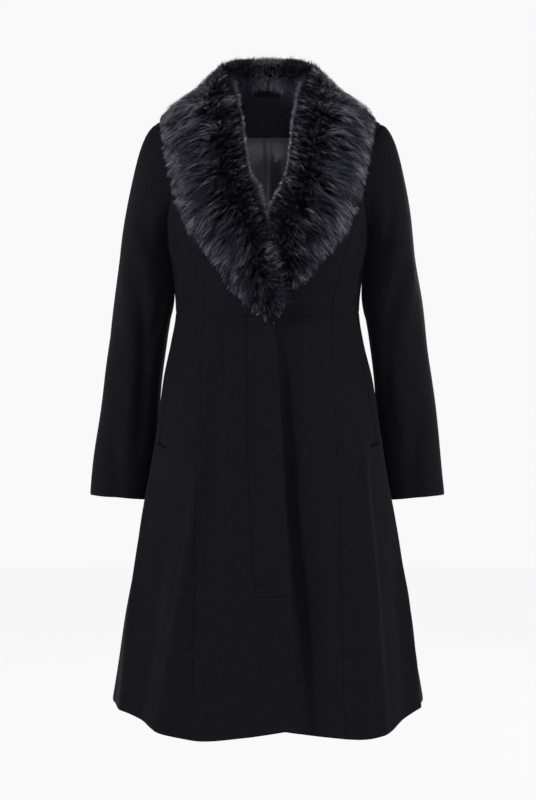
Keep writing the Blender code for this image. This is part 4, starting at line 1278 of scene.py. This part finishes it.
def make_placket(wool):
    """The hidden placket between the fronts."""
    z = np.linspace(PLACKET_FOOT_Z, PLACKET_TOP_Z, PLACKET_ROWS)
    edge = read_curve(FRONT_EDGES, "right_edge", z)
    start, end = angle_at(edge - PLACKET_WIDTH, z), angle_at(edge - PLACKET_INSET, z)
    angle = spread(start, end, np.linspace(0, 1, PLACKET_COLUMNS))
    z = np.broadcast_to(z[:, None], angle.shape)
    cloth("placket", "fly_placket", angle, z, PLACKET_WALL, wool, -WOOL - LAY_GAP, SKIRT_CREASES)


def make_welts(wool):
    """The two pocket welts."""
    share = np.linspace(0, 1, WELT_ROWS)
    z = WELT_FOOT.z * (1 - share) + WELT_TOP.z * share
    back = np.radians(WELT_FOOT.degrees * (1 - share) + WELT_TOP.degrees * share)
    angle = spread(back - WELT_WIDTH, back, np.linspace(0, 1, WELT_COLUMNS))
    z = np.broadcast_to(z[:, None], angle.shape)
    for side, angles in (("left", angle), ("right", -angle[:, ::-1])):
        out = WELT_WALL + SEAM_GAP
        cloth(f"welt_{side}", f"pocket_welt_{side}", angles, z, WELT_WALL, wool, out, SKIRT_CREASES)


# Sewing and hook

def stitch_corners(angle, z, line):
    """The eight corners of each stitch along a line on the skirt: a low bar with a narrower top."""
    middle = moved_out(angle, z, cloth_lift(angle, z, SKIRT_CREASES))
    normal = body_normal(angle, z)
    along = np.gradient(middle, axis=0)
    along = unit(along - normal * (along * normal).sum(axis=-1, keepdims=True))
    across = np.cross(normal, along)
    corners = []
    for up, share in ((0.0, 1.0), (line.height, STITCH_TOP)):
        for far, side in ((-1, -1), (1, -1), (1, 1), (-1, 1)):
            flat = along * (far * line.length * share / 2) + across * (side * line.width * share / 2)
            corners.append(middle + flat + normal * up)
    return np.stack(corners, axis=1)


def make_sewing(thread):
    """All the sewing that shows, as one piece of thread."""
    blocks = []
    for line in STITCH_LINES:
        angle, z = through_three(line, STITCH_SAMPLES)
        run = run_along(body(angle, z))
        places = np.arange(line.step / 2, run[-1], line.step)
        blocks.append(stitch_corners(np.interp(places, run, angle), np.interp(places, run, z), line))
    corners = np.concatenate(blocks)
    first = corners.shape[1] * np.arange(len(corners))[:, None, None]
    mesh = mesh_from_arrays("sewing", corners.reshape(-1, 3), [(STITCH_FACES + first).reshape(-1, 4)])
    new_piece("sewing", mesh, thread)


def ball(middle, radius):
    """Points and faces of a small ball."""
    turn = turns(BEAD_TURNS)
    polar = np.linspace(0, math.pi, BEAD_RINGS + 1)[1:-1, None]
    level = np.cos(turn) * np.sin(polar), np.sin(turn) * np.sin(polar), np.cos(polar)
    rings = np.stack(np.broadcast_arrays(*level), axis=-1).reshape(-1, 3)
    points = middle + radius * np.concatenate(([UPRIGHT], rings, [-UPRIGHT]))
    index = 1 + np.arange(len(rings)).reshape(-1, BEAD_TURNS)
    turned = np.roll(index, -1, axis=1)
    top = np.stack((np.full(BEAD_TURNS, 0), index[0], turned[0]), axis=-1)
    foot = np.stack((np.full(BEAD_TURNS, len(rings) + 1), turned[-1], index[-1]), axis=-1)
    return points, [quads(index[:-1], index[1:], turned[1:], turned[:-1]), np.concatenate((top, foot))]


def make_hook(wire, bead):
    """The open wire ring of the hook, blackened, and the lighter bead beside its foot."""
    height = np.array(HOOK_Z)
    angle = angle_at(np.array(HOOK_X), height)
    middle = moved_out(angle, height, HOOK_WIRE + LAY_GAP)
    normal = body_normal(angle, height)
    across = unit(np.cross(UPRIGHT, normal))
    up = np.cross(normal, across)
    turn = np.linspace(-HOOK_TURN / 2, HOOK_TURN / 2, HOOK_STEPS)[:, None, None]
    round_wire = turns(WIRE_STEPS)[:, None]
    spoke = up * np.cos(turn) + across * np.sin(turn)
    ring = middle + spoke * (HOOK_RING + HOOK_WIRE * np.cos(round_wire))
    ring = ring + normal * (HOOK_WIRE * np.sin(round_wire))
    index = np.arange(HOOK_STEPS * WIRE_STEPS).reshape(HOOK_STEPS, WIRE_STEPS)
    turned = np.roll(index, -1, axis=1)
    faces = [quads(index[:-1], turned[:-1], turned[1:], index[1:]), np.stack((index[0][::-1], index[-1]))]
    mesh = mesh_from_arrays("hook_ring", ring.reshape(-1, 3), faces)
    new_piece("hook_ring", mesh, wire, "waist_hook")

    foot = middle + (across * math.sin(HOOK_BEAD_TURN) - up * math.cos(HOOK_BEAD_TURN)) * HOOK_RING
    mesh = mesh_from_arrays("hook_bead", *ball(foot + normal * HOOK_WIRE * HOOK_BEAD_OUT, HOOK_BEAD))
    new_piece("hook_bead", mesh, bead)


# The collar's form

def collar_row(half, station):
    """One half's table read at stations from 0 at the nape to 1 at its end."""
    place = np.linspace(0, 1, len(half.rows))
    return CollarRow(*(curve_through(place, values, station) for values in np.array(half.rows, float).T))


def row_at(half, station):
    """The row of one half's table at a station."""
    return station * (len(half.rows) - 1)


def by_row(half, station, name):
    """One column of the fall's table, read at stations of one half."""
    return read_lines(FUR_STATIONS, name, row_at(half, station))


def at_back(half, station):
    """1 at the collar's back, and 0 on its lapels."""
    return np.interp(row_at(half, station), BACK_ROWS, (1.0, 0.0))


def skin(row, share, side):
    """Points of the coat under the collar, at shares of its width, with the coat's normals."""
    angle = side * np.radians(row.inner_deg + (row.outer_deg - row.inner_deg) * share)
    z = row.inner_z + (row.outer_z - row.inner_z) * share
    return body(angle, z), body_normal(angle, z)


def inner_frame(row, side):
    """The collar's foot, the way that its stand rises there and the way in to the neck."""
    zero = np.zeros(np.shape(row.pile))
    foot, normal = skin(row, zero, side)
    ahead, _ = skin(row, zero + COLLAR_AHEAD, side)
    lean = row.lean[..., None]
    up = unit((1 - lean) * normal + lean * UPRIGHT)
    level = unit(normal * (1 - UPRIGHT))
    inward = -unit((1 - lean) * unit(ahead - foot) + lean * level)
    return foot, up, inward


def collar_top(half, station, share, part=1.0):
    """Points of the collar's face at a part of its height, with the way out and the whole height."""
    row = collar_row(half, station)
    base, normal = skin(row, share, half.side)
    _, up, _ = inner_frame(row, half.side)
    rolled = soft_step(share / COLLAR_ROLL)
    way = unit(up * (1 - rolled)[..., None] + normal * rolled[..., None])
    fall = np.clip((share - COLLAR_ROLL) / (1 - COLLAR_ROLL), 0, 1) ** COLLAR_FALL
    pile = row.pile * (1 - (1 - COLLAR_RIM_HEIGHT) * fall)
    crown = row.crown * np.sin(math.pi * np.clip(share / COLLAR_CROWN, 0, 1))
    height = row.stand * (1 - rolled) + pile * rolled + crown
    return base + way * (height * part)[..., None], way, height


def collar_lip(half, station, place, out_part=1.0, up_part=1.0):
    """Points of the collar's inner face, from its foot to its crest."""
    row = collar_row(half, station)
    foot, up, inward = inner_frame(row, half.side)
    out = row.lip * read_lines(COLLAR_LIP, "out", place) * out_part
    rise = row.stand * read_lines(COLLAR_LIP, "up", place) * up_part
    return foot + inward * out[..., None] + up * rise[..., None]


# Pelt

def pelt_depth(share, crest):
    """The pelt's height as a part of the collar's, at shares of its width."""
    return crest + (PELT_DEPTH - crest) * soft_step(share / COLLAR_ROLL)


def pelt_grid(half):
    """Grid of the pelt's face: along the collar, and across from the foot over the crest to the rim."""
    station = np.linspace(0, 1, PELT_STATIONS)[:, None]
    crest = by_row(half, station, "crest")
    share = np.linspace(0, 1, PELT_COLUMNS) * by_row(half, station, "rim")
    top, _, _ = collar_top(half, station, share, pelt_depth(share, crest))
    lip = collar_lip(half, station, np.linspace(*PELT_LIP_PLACES, PELT_LIP_COLUMNS), PELT_LIP_OUT, crest)
    return np.concatenate((lip, top), axis=1)


def make_pelt(half, material):
    """The sheet of close hair that carries one half of the collar's long hair, near-black as painted shade
    between the locks.
    """
    name = f"pelt_{half.name}"
    outer = pelt_grid(half)
    outer[0, :, 0] = half.side * SEAM_GAP / 2
    normal = unit(np.cross(np.gradient(outer, axis=1), np.gradient(outer, axis=0))) * half.side
    inner = outer - normal * PELT_WALL
    inner[0, :, 0] = half.side * SEAM_GAP / 2
    mesh = wall_mesh(name, outer[:, ::half.side], inner[:, ::half.side])
    new_piece(name, mesh, material, f"collar_{half.name}")


# Hair: locks stand at stations along the collar and shares of its width, or places up its lip
Locks = namedtuple("Locks", "station share along across stray length width")


def pick_places(random, face, count, density):
    """Random stations and places on a face, by its area and a density. The face is a grid of points."""
    one = np.diff(face, axis=0)[:, :-1]
    two = np.diff(face, axis=1)[:-1]
    area = np.linalg.norm(np.cross(one, two), axis=-1) * density
    cell = random.choice(area.size, count, p=(area / area.sum()).ravel())
    row, across = np.divmod(cell, area.shape[1])
    station = (row + random.random(count)) / area.shape[0]
    place = (across + random.random(count)) / area.shape[1]
    return station[:, None], place[:, None]


def lock_offsets(random, locks):
    """Offsets of a lock's strands along and across it, and which strands stray."""
    radius = LOCK_REACH * np.sqrt(random.random((locks, STRANDS)))
    turn = random.random((locks, STRANDS)) * math.tau
    stray = random.random((locks, STRANDS)) < STRAY_SHARE
    return radius * np.cos(turn), radius * np.sin(turn), stray


def uneven_light(random, shape, lock_spread):
    """Factors that set the locks, and the strands in a lock, apart by their lightness."""
    lock = np.exp(random.normal(-lock_spread ** 2 / 2, lock_spread, (shape[0], 1)))
    return np.minimum(lock, LOCK_LIGHT_MOST) * np.exp(random.normal(0, STRAND_LIGHT_SPREAD, shape))


def hair_wave(station, share, phase):
    """A slow waving of the hair, from -1 to 1."""
    total = 0.0
    for i, wave in enumerate(FUR_WAVES):
        way = math.tau * (wave.along * station + wave.across * share)
        total = total + wave.share * np.sin(way + phase * (i + 1))
    return total


def tufts_of(random, station, share):
    """The station that each lock's tip gathers to, its tuft's lightness and how far it falls short."""
    zone = np.clip(share * TUFT_ZONES, 0, TUFT_ZONES - 1).astype(int)
    shift = zone * TUFT_TURN % 1
    tuft = np.floor(station * FUR_TUFTS + shift).astype(int)
    light = np.exp(random.normal(0, TUFT_LIGHT, (TUFT_ZONES, FUR_TUFTS + 2)))
    short = TUFT_REACH * random.random((TUFT_ZONES, FUR_TUFTS + 2))
    middle = (tuft + 0.5 - shift) / FUR_TUFTS
    aside = 2 * FUR_TUFTS * np.abs(station - middle)
    return middle, light[zone, tuft], short[zone, tuft] + TUFT_POINT * aside ** TUFT_POINT_POWER


# Hair on the fall

def fall_locks(random, half, count):
    """The locks on one half's fall, with its length and width where they stand."""
    station = np.linspace(0, 1, FALL_GRID[0])[:, None]
    share = np.linspace(0, 1, FALL_GRID[1])
    face, _, _ = collar_top(half, station, share)
    length = np.linalg.norm(np.diff(face, axis=0), axis=-1) * (FALL_GRID[0] - 1)
    width = np.linalg.norm(np.diff(face, axis=1), axis=-1).sum(axis=1)
    at_crest = (share < CREST_SHARE) & (row_at(half, station) < BACK_ROWS[1])
    density = np.where(at_crest, CREST_DENSITY, 1.0)[:-1, :-1]
    station, share = pick_places(random, face, count, density)
    i, j = (np.clip((at * (n - 1)).astype(int), 0, n - 2) for at, n in zip((station, share), FALL_GRID))
    share = share * by_row(half, station, "rim")
    offsets = lock_offsets(random, count)
    return Locks(station, share, *offsets, np.maximum(length[i, j], LENGTH_LEAST), width[i])


def fall_lean(random, half, station, share, at_end):
    """How far the locks of the fall lean across the collar."""
    lean = read_lines(FUR_ROWS, "lean", share) * random.normal(1.0, LEAN_SPREAD, share.shape)
    lean = lean + random.normal(0, LEAN_STRAY, share.shape)
    lean = lean * (1 - at_end) + TIP_FAN * (2 * share - half.fan_turn) * at_end
    return lean + CREST_LEAN * at_back(half, station) * (1 - soft_step(share / CREST_SHARE))


def fall_sway(random, locks, middle, phase):
    """How far the tips of the fall's locks lie along the collar from their roots."""
    sway = random.normal(0, SWAY_SPREAD, locks.share.shape)
    sway = sway + FUR_SWAY * hair_wave(locks.station, locks.share, phase)
    sway = sway + TUFT_PULL * (middle - locks.station) * locks.length
    return sway * (SWAY_CREST + (1 - SWAY_CREST) * soft_step(locks.share / SWAY_SHARE))


def fall_reach(random, half, locks, lean, narrowing, short):
    """Shares of the collar's width at which the fall's tips lie, not too far past the rim."""
    shape = locks.stray.shape
    loose = np.where(locks.stray, STRAY_LOOSE, 1.0) * random.normal(0, LOOSE_SPREAD, shape)
    across = locks.across * narrowing + lean * random.normal(1.0, TIP_LEAN_SPREAD, shape) + loose
    ragged = RAGGED_LOCKS * random.random(locks.share.shape) + RAGGED_STRANDS * random.random(shape)
    most = (1 - locks.share) * locks.width + by_row(half, locks.station, "past_rim") - short - ragged
    return locks.share + np.minimum(across, most) / locks.width


def fall_lines(random, half, locks, root_at, tip_at, hang, tip_height):
    """Roots, bends, tips and facing of the fall's strands, from the stations and shares of both ends."""
    shape = locks.stray.shape
    root_share, tip_share = root_at[1], tip_at[1]
    depth = pelt_depth(root_share, by_row(half, root_at[0], "crest"))
    root, way, height = collar_top(half, *root_at, depth)
    root = root - way * ROOT_SINK
    flat = by_row(half, locks.station, "flat") * soft_step((tip_share - FLAT_SHARE) / (1 - FLAT_SHARE))
    tip, facing, _ = collar_top(half, *tip_at, tip_height * (1 - flat))
    tip = tip - UPRIGHT * hang[..., None]
    mixed = NAPE_MIX * (1 - soft_step(locks.station / NAPE_MIX_STATION))
    tip[..., 0] += mixed * random.normal(0, 1, shape)
    rise = by_row(half, locks.station, "rise") * (1 - soft_step(root_share / COLLAR_ROLL))
    rise = rise + random.normal(0.0, RUFFLE_LOCKS, locks.share.shape)
    rise = rise + random.normal(0.0, RUFFLE_STRANDS, shape)
    tip = tip + facing * (rise + np.where(locks.stray, STRAY_RISE, 0.0))[..., None]
    bend = (height * (1 - depth) * BEND_HEIGHT + BEND_MORE) * (1 - flat)
    control = root + way * bend[..., None] + (tip - root) * BEND_TO_TIP
    return root, control, tip, facing


def fall_light(random, half, root_at, tip_share, phase, tuft_light, under):
    """Lightness of the fall's tips, and how late along the strands they turn light."""
    station, share = root_at
    # Tips are lighter from the shoulders down the upper lapels (painted top light), and at the inner edge
    # and the rim (partly painted rim light).
    light = read_lines(FUR_ROWS, "light", tip_share) * by_row(half, station, "light")
    light = light * (UNDER_LIGHT if under else 1.0)
    # Painted top light on the crest at the back.
    light = light + CREST_PAINTED_TOP_LIGHT * at_back(half, station) * (1 - soft_step(share / CREST_SHARE))
    # Painted top light at the parting, from the shoulders down the upper lapels.
    glow = np.interp(tip_share, GLOW_START + GLOW_END, (0.0, 1.0, 1.0, 0.0)) * by_row(half, station, "glow")
    patches = hair_wave(PATCH_STRETCH * station, share, phase + PATCH_PHASE)
    light = (light + glow) * np.exp(FUR_PATCHES * patches)
    light = light * tuft_light * uneven_light(random, light.shape, LOCK_LIGHT_SPREAD)
    return np.minimum(light, FALL_LIGHT_MOST), FUR_LIGHTENING - GLOW_EARLIER * glow


def fall_hair(random, half, count, under=False):
    """Roots, bends, tips, facing, lightness, lateness and stations of the strands on one half's fall."""
    locks = fall_locks(random, half, count)
    station, share = locks.station, locks.share
    root_station = np.clip(station + locks.along / locks.length, 0, 1)
    root_share = np.clip(share + locks.across / locks.width, 0, by_row(half, station, "rim"))
    root_at = root_station, root_share
    at_end = soft_step(row_at(half, station - 1) / TIP_FAN_ROWS + 1)
    lean = fall_lean(random, half, station, share, at_end)
    if under:
        # The long hair's lean is drawn all the same, so that the order of the draws stays
        lean = random.normal(*UNDER_LEAN, share.shape)
    narrowing = LOCK_TIP_BACK + (LOCK_TIP - LOCK_TIP_BACK) * soft_step((station - BACK_END) / BACK_RUN)
    phase = WAVE_PHASE + half.side
    tuft_middle, tuft_light, tuft_short = tufts_of(random, station, share)
    sway = fall_sway(random, locks, tuft_middle, phase)
    tip_share = fall_reach(random, half, locks, lean, narrowing, tuft_short)
    droop = by_row(half, station, "droop")
    along = droop * soft_step(root_share / DROOP_SHARE) * (1 - at_end)
    along = along + sway + locks.along * (narrowing - 1)
    tip_at = np.clip(root_station + along / locks.length, 0, 1), tip_share
    hang = half.tip_droop * droop * at_end
    lines = fall_lines(random, half, locks, root_at, tip_at, hang, UNDER_HEIGHT if under else 1.0)
    return (*lines, *fall_light(random, half, root_at, tip_share, phase, tuft_light, under), root_station)


# Hair on the lip

def lip_locks(random, half, count):
    """The locks on one half's lip, with its length and width."""
    station = np.linspace(0, 1, LIP_GRID[0])[:, None]
    face = collar_lip(half, station, np.linspace(LIP_FOOT, 1, LIP_GRID[1]))
    length = np.linalg.norm(np.diff(face, axis=0), axis=-1).sum(axis=0).mean()
    density = 1 + (LIP_BACK_DENSITY - 1) * at_back(half, station[:-1])
    station, place = pick_places(random, face, count, density)
    place = LIP_FOOT + (1 - LIP_FOOT) * place
    return Locks(station, place, *lock_offsets(random, count), length, LIP_WIDTH)


def lip_hang(half, station, place, foot):
    """How far the lip's tips hang, at the nape and at the neck's foot."""
    beside_loop = soft_step((np.abs(foot[..., 0]) - NAPE_LOOP) / NAPE_LOOP_EASE)
    beside_loop = NAPE_LOOP_FALL + (1 - NAPE_LOOP_FALL) * beside_loop
    at_nape = (1 - soft_step((station - NAPE_END) / NAPE_RUN)) * (1 - soft_step(place / NAPE_PLACE))
    at_foot = soft_step((row_at(half, station) - LIP_DROOP_ROW) / LIP_DROOP_ROWS)
    return NAPE_FALL * beside_loop * at_nape + LIP_DROOP * at_foot


def lip_light(random, half, station, place, tip_place, foot):
    """Lightness of the lip's tips, and how late along the strands they turn light."""
    # The lip's hair is partly painted light: it faces in, away from the lamps, and is made lighter for it.
    light = read_lines(LIP_ROWS, "light", tip_place)
    light = light * read_lines(LIP_STATIONS, "light", row_at(half, station))
    # Painted shade inside the neck's back, beside the lapels.
    lapel_shade_painted = np.interp(np.abs(foot[..., 0]), LIP_SIDE_PAINTED_SHADE_X, (1.0, LIP_SIDE_PAINTED_SHADE))
    # Painted top light near the crest at the back.
    painted_top_light = np.interp(place, LIP_PAINTED_TOP_LIGHT_PLACES, (1.0, LIP_PAINTED_TOP_LIGHT))
    back = at_back(half, station)
    light = light + LIP_BACK_LIGHT * back * lapel_shade_painted * painted_top_light
    light = light * uneven_light(random, light.shape, LIP_LIGHT_SPREAD)
    return light, FUR_LIGHTENING + (LIP_BACK_LIGHTENING - FUR_LIGHTENING) * back


def lip_hair(random, half, count):
    """Roots, bends, tips, facing, lightness, lateness and stations of the strands on one half's lip."""
    locks = lip_locks(random, half, count)
    shape = locks.stray.shape
    station = np.clip(locks.station + locks.along / locks.length, 0, 1)
    place = np.clip(locks.share + locks.across / locks.width, LIP_LEAST, 1)
    row = row_at(half, station)
    crest = by_row(half, station, "crest")
    foot, up, inward = inner_frame(collar_row(half, station), half.side)
    root = collar_lip(half, station, place, PELT_LIP_OUT, crest)
    sway = random.normal(0, LIP_SWAY, locks.share.shape) + locks.along * (LOCK_TIP - 1)
    tip_station = np.clip(station + sway / locks.length, 0, 1)
    tip_place = locks.share + locks.across * LOCK_TIP / locks.width
    tip_place = tip_place + random.normal(0, LIP_PLACE_SPREAD, shape)
    tip_place = tip_place + LIP_BACK_LEAN * at_back(half, station) * soft_step(place)
    tip_place = np.clip(tip_place, LIP_LEAST, 1)
    reach = 1.0 + random.normal(*LIP_REACH_SPREAD, shape) + read_lines(LIP_STATIONS, "reach", row)
    reach = reach + half.close_reach * np.exp(-(row - half.close_row) ** 2)
    tip = collar_lip(half, tip_station, tip_place, reach, np.maximum(1.0, crest + LIP_OVER_PELT))
    tip = tip + up * random.normal(*LIP_UP_SPREAD, shape)[..., None]
    tip = tip - UPRIGHT * lip_hang(half, station, tip_place, foot)[..., None]
    control = root + (tip - root) * LIP_BEND + up * LIP_BEND_UP
    facing = unit(inward * LIP_FACING + up)
    return (root, control, tip, facing, *lip_light(random, half, station, place, tip_place, foot), station)


# Fur pieces and the cut of the cloth

def bent_strands(root, control, tip, facing, width, roll):
    """Points of tapered strips along curves from roots to tips, which face outwards."""
    points = []
    for t in np.arange(STRAND_PARTS) / STRAND_PARTS:
        middle = (1 - t) ** 2 * root + 2 * t * (1 - t) * control + t * t * tip
        along = unit(2 * (1 - t) * (control - root) + 2 * t * (tip - control))
        flat = unit(facing - along * (facing * along).sum(axis=-1, keepdims=True))
        side = np.cross(along, flat)
        side = side * np.cos(roll)[:, None] + flat * np.sin(roll)[:, None]
        half = (width * (1 - t) ** STRAND_TAPER / 2)[:, None]
        points += [middle - side * half, middle + side * half]
    return np.stack((*points, tip), axis=1)


def strand_faces(count):
    """Quads and end triangles of strips."""
    each = 2 * STRAND_PARTS + 1
    start = each * np.arange(count)[:, None]
    strips = [start + (2 * s, 2 * s + 1, 2 * s + 3, 2 * s + 2) for s in range(STRAND_PARTS - 1)]
    return [np.concatenate(strips), start + (each - 3, each - 2, each - 1)]


def strand_tints(light, late):
    """Colours of strips from dark roots to lighter tips, and how late along them they turn light."""
    steps = np.repeat(np.arange(STRAND_PARTS + 1), 2)[:-1] / STRAND_PARTS
    rise = (steps[None] ** late[:, None])[..., None]
    light = light[:, None, None]
    tip = light * (np.array(FUR_TINT) + np.exp(-light / FUR_BLUE_FADE) * np.array(FUR_BLUE))
    colours = np.array(FUR_ROOT) * (1 - rise) + tip * rise
    return np.concatenate((colours, np.ones((*colours.shape[:2], 1))), axis=-1)


def make_fur(half, material):
    """The long hair of one half of the collar, as one piece at the back and one on the lapel."""
    random = np.random.default_rng(half.seed)
    groups = (
        fall_hair(random, half, LOCKS_FALL // 2),
        fall_hair(random, half, LOCKS_UNDER // 2, under=True),
        lip_hair(random, half, LOCKS_LIP // 2),
    )
    *lines, light, late, station = (np.concatenate(values) for values in zip(*groups))
    # The left half's hair is painted lighter than the right's: painted light on that side.
    light, late, station = light.ravel() * half.light, late.ravel(), station.ravel()
    width = STRAND_WIDTH * random.uniform(*STRAND_WIDTHS, len(station))
    roll = random.normal(0, STRAND_ROLL, len(station))
    for part, chosen in (("back", station < FUR_SPLIT), ("lapel", station >= FUR_SPLIT)):
        name = f"fur_{part}_{half.name}"
        ends = [values.reshape(-1, 3)[chosen] for values in lines]
        points = bent_strands(*ends, width[chosen], roll[chosen])
        mesh = mesh_from_arrays(name, points.reshape(-1, 3), strand_faces(len(points)))
        tint = mesh.color_attributes.new("tint", "FLOAT_COLOR", "POINT")
        tint.data.foreach_set("color", strand_tints(light[chosen], late[chosen]).astype(np.float32).ravel())
        new_piece(name, mesh, material)


# Stage

def make_floor():
    """A plain pale floor under the coat."""
    turn = turns(FLOOR_STEPS)
    x, y = FLOOR_RADIUS * np.cos(turn), FLOOR_RADIUS * np.sin(turn)
    points = np.stack((x, y, np.full(FLOOR_STEPS, FLOOR_Z)), axis=-1)
    mesh = mesh_from_arrays("floor", points, [np.arange(FLOOR_STEPS)[None]])
    material, _, _ = shader_of("floor", {
        "Base Color": (FLOOR_COLOUR, FLOOR_COLOUR, FLOOR_COLOUR, 1),
        "Roughness": FLOOR_ROUGHNESS,
        "Specular IOR Level": 0.0,
        "Emission Color": (*WHITE, 1),
        "Emission Strength": FLOOR_GLOW,
    })
    mesh.materials.append(material)
    linked("floor", mesh)


def make_surround():
    """An even pale surround, which gives less light than it shows."""
    world = bpy.data.worlds.new("studio")
    world.use_nodes = True
    tree = world.node_tree
    lit = tree.nodes["Background"]
    set_values(lit, {"Color": (*WHITE, 1), "Strength": SURROUND_LIGHT})
    seen = add_node(tree, "Background", {"Color": (*WHITE, 1), "Strength": BACKGROUND}, {})
    path = add_node(tree, "LightPath", {}, {})
    links = {
        "Fac": path.outputs["Is Camera Ray"],
        1: lit.outputs["Background"],
        2: seen.outputs["Background"],
    }
    either = add_node(tree, "MixShader", {}, links)
    tree.links.new(either.outputs["Shader"], tree.nodes["World Output"].inputs["Surface"])
    bpy.context.scene.world = world


def make_lamps():
    """Soft studio lamps, each with its -Z turned to its target."""
    for row in AREA_LIGHTS:
        lamp = bpy.data.lights.new(row.name, "AREA")
        lamp.size = row.size
        lamp.energy = row.watts
        made = linked(row.name, lamp)
        made.location = row.place
        way = Vector(row.target) - Vector(row.place)
        made.rotation_euler = way.to_track_quat("-Z", "Y").to_euler()
    bpy.context.scene.view_settings.view_transform = "Standard"


def make_camera():
    """The photo's camera: level, in front of the coat."""
    lens = bpy.data.cameras.new("camera")
    lens.sensor_fit = "VERTICAL"
    lens.sensor_height = SENSOR
    lens.lens = SENSOR * CAMERA_DISTANCE / FRAME_HEIGHT
    camera = linked("camera", lens)
    camera.location = (CAMERA_X, -CAMERA_DISTANCE, CAMERA_Z)
    camera.rotation_euler = (math.pi / 2, 0, 0)
    bpy.context.scene.camera = camera


def main():
    """Builds everything that the render shows."""
    made = {name: make_material(name) for name in FINISHES}
    wool = made["coat_wool"]
    make_bodice(wool)
    make_skirt(wool)
    make_sleeves(wool)
    make_neck_inside(made["facing_wool_painted_light"], made["lining_satin"])
    make_loop(made["loop_tape"])
    make_placket(wool)
    make_welts(wool)
    make_sewing(made["thread"])
    make_hook(made["hook_wire"], made["hook_bead"])
    for half in HALVES:
        make_pelt(half, made["collar_pelt_and_shade"])
    for half in HALVES:
        make_fur(half, made["collar_fur"])
    make_floor()
    make_surround()
    make_lamps()
    make_camera()


main()
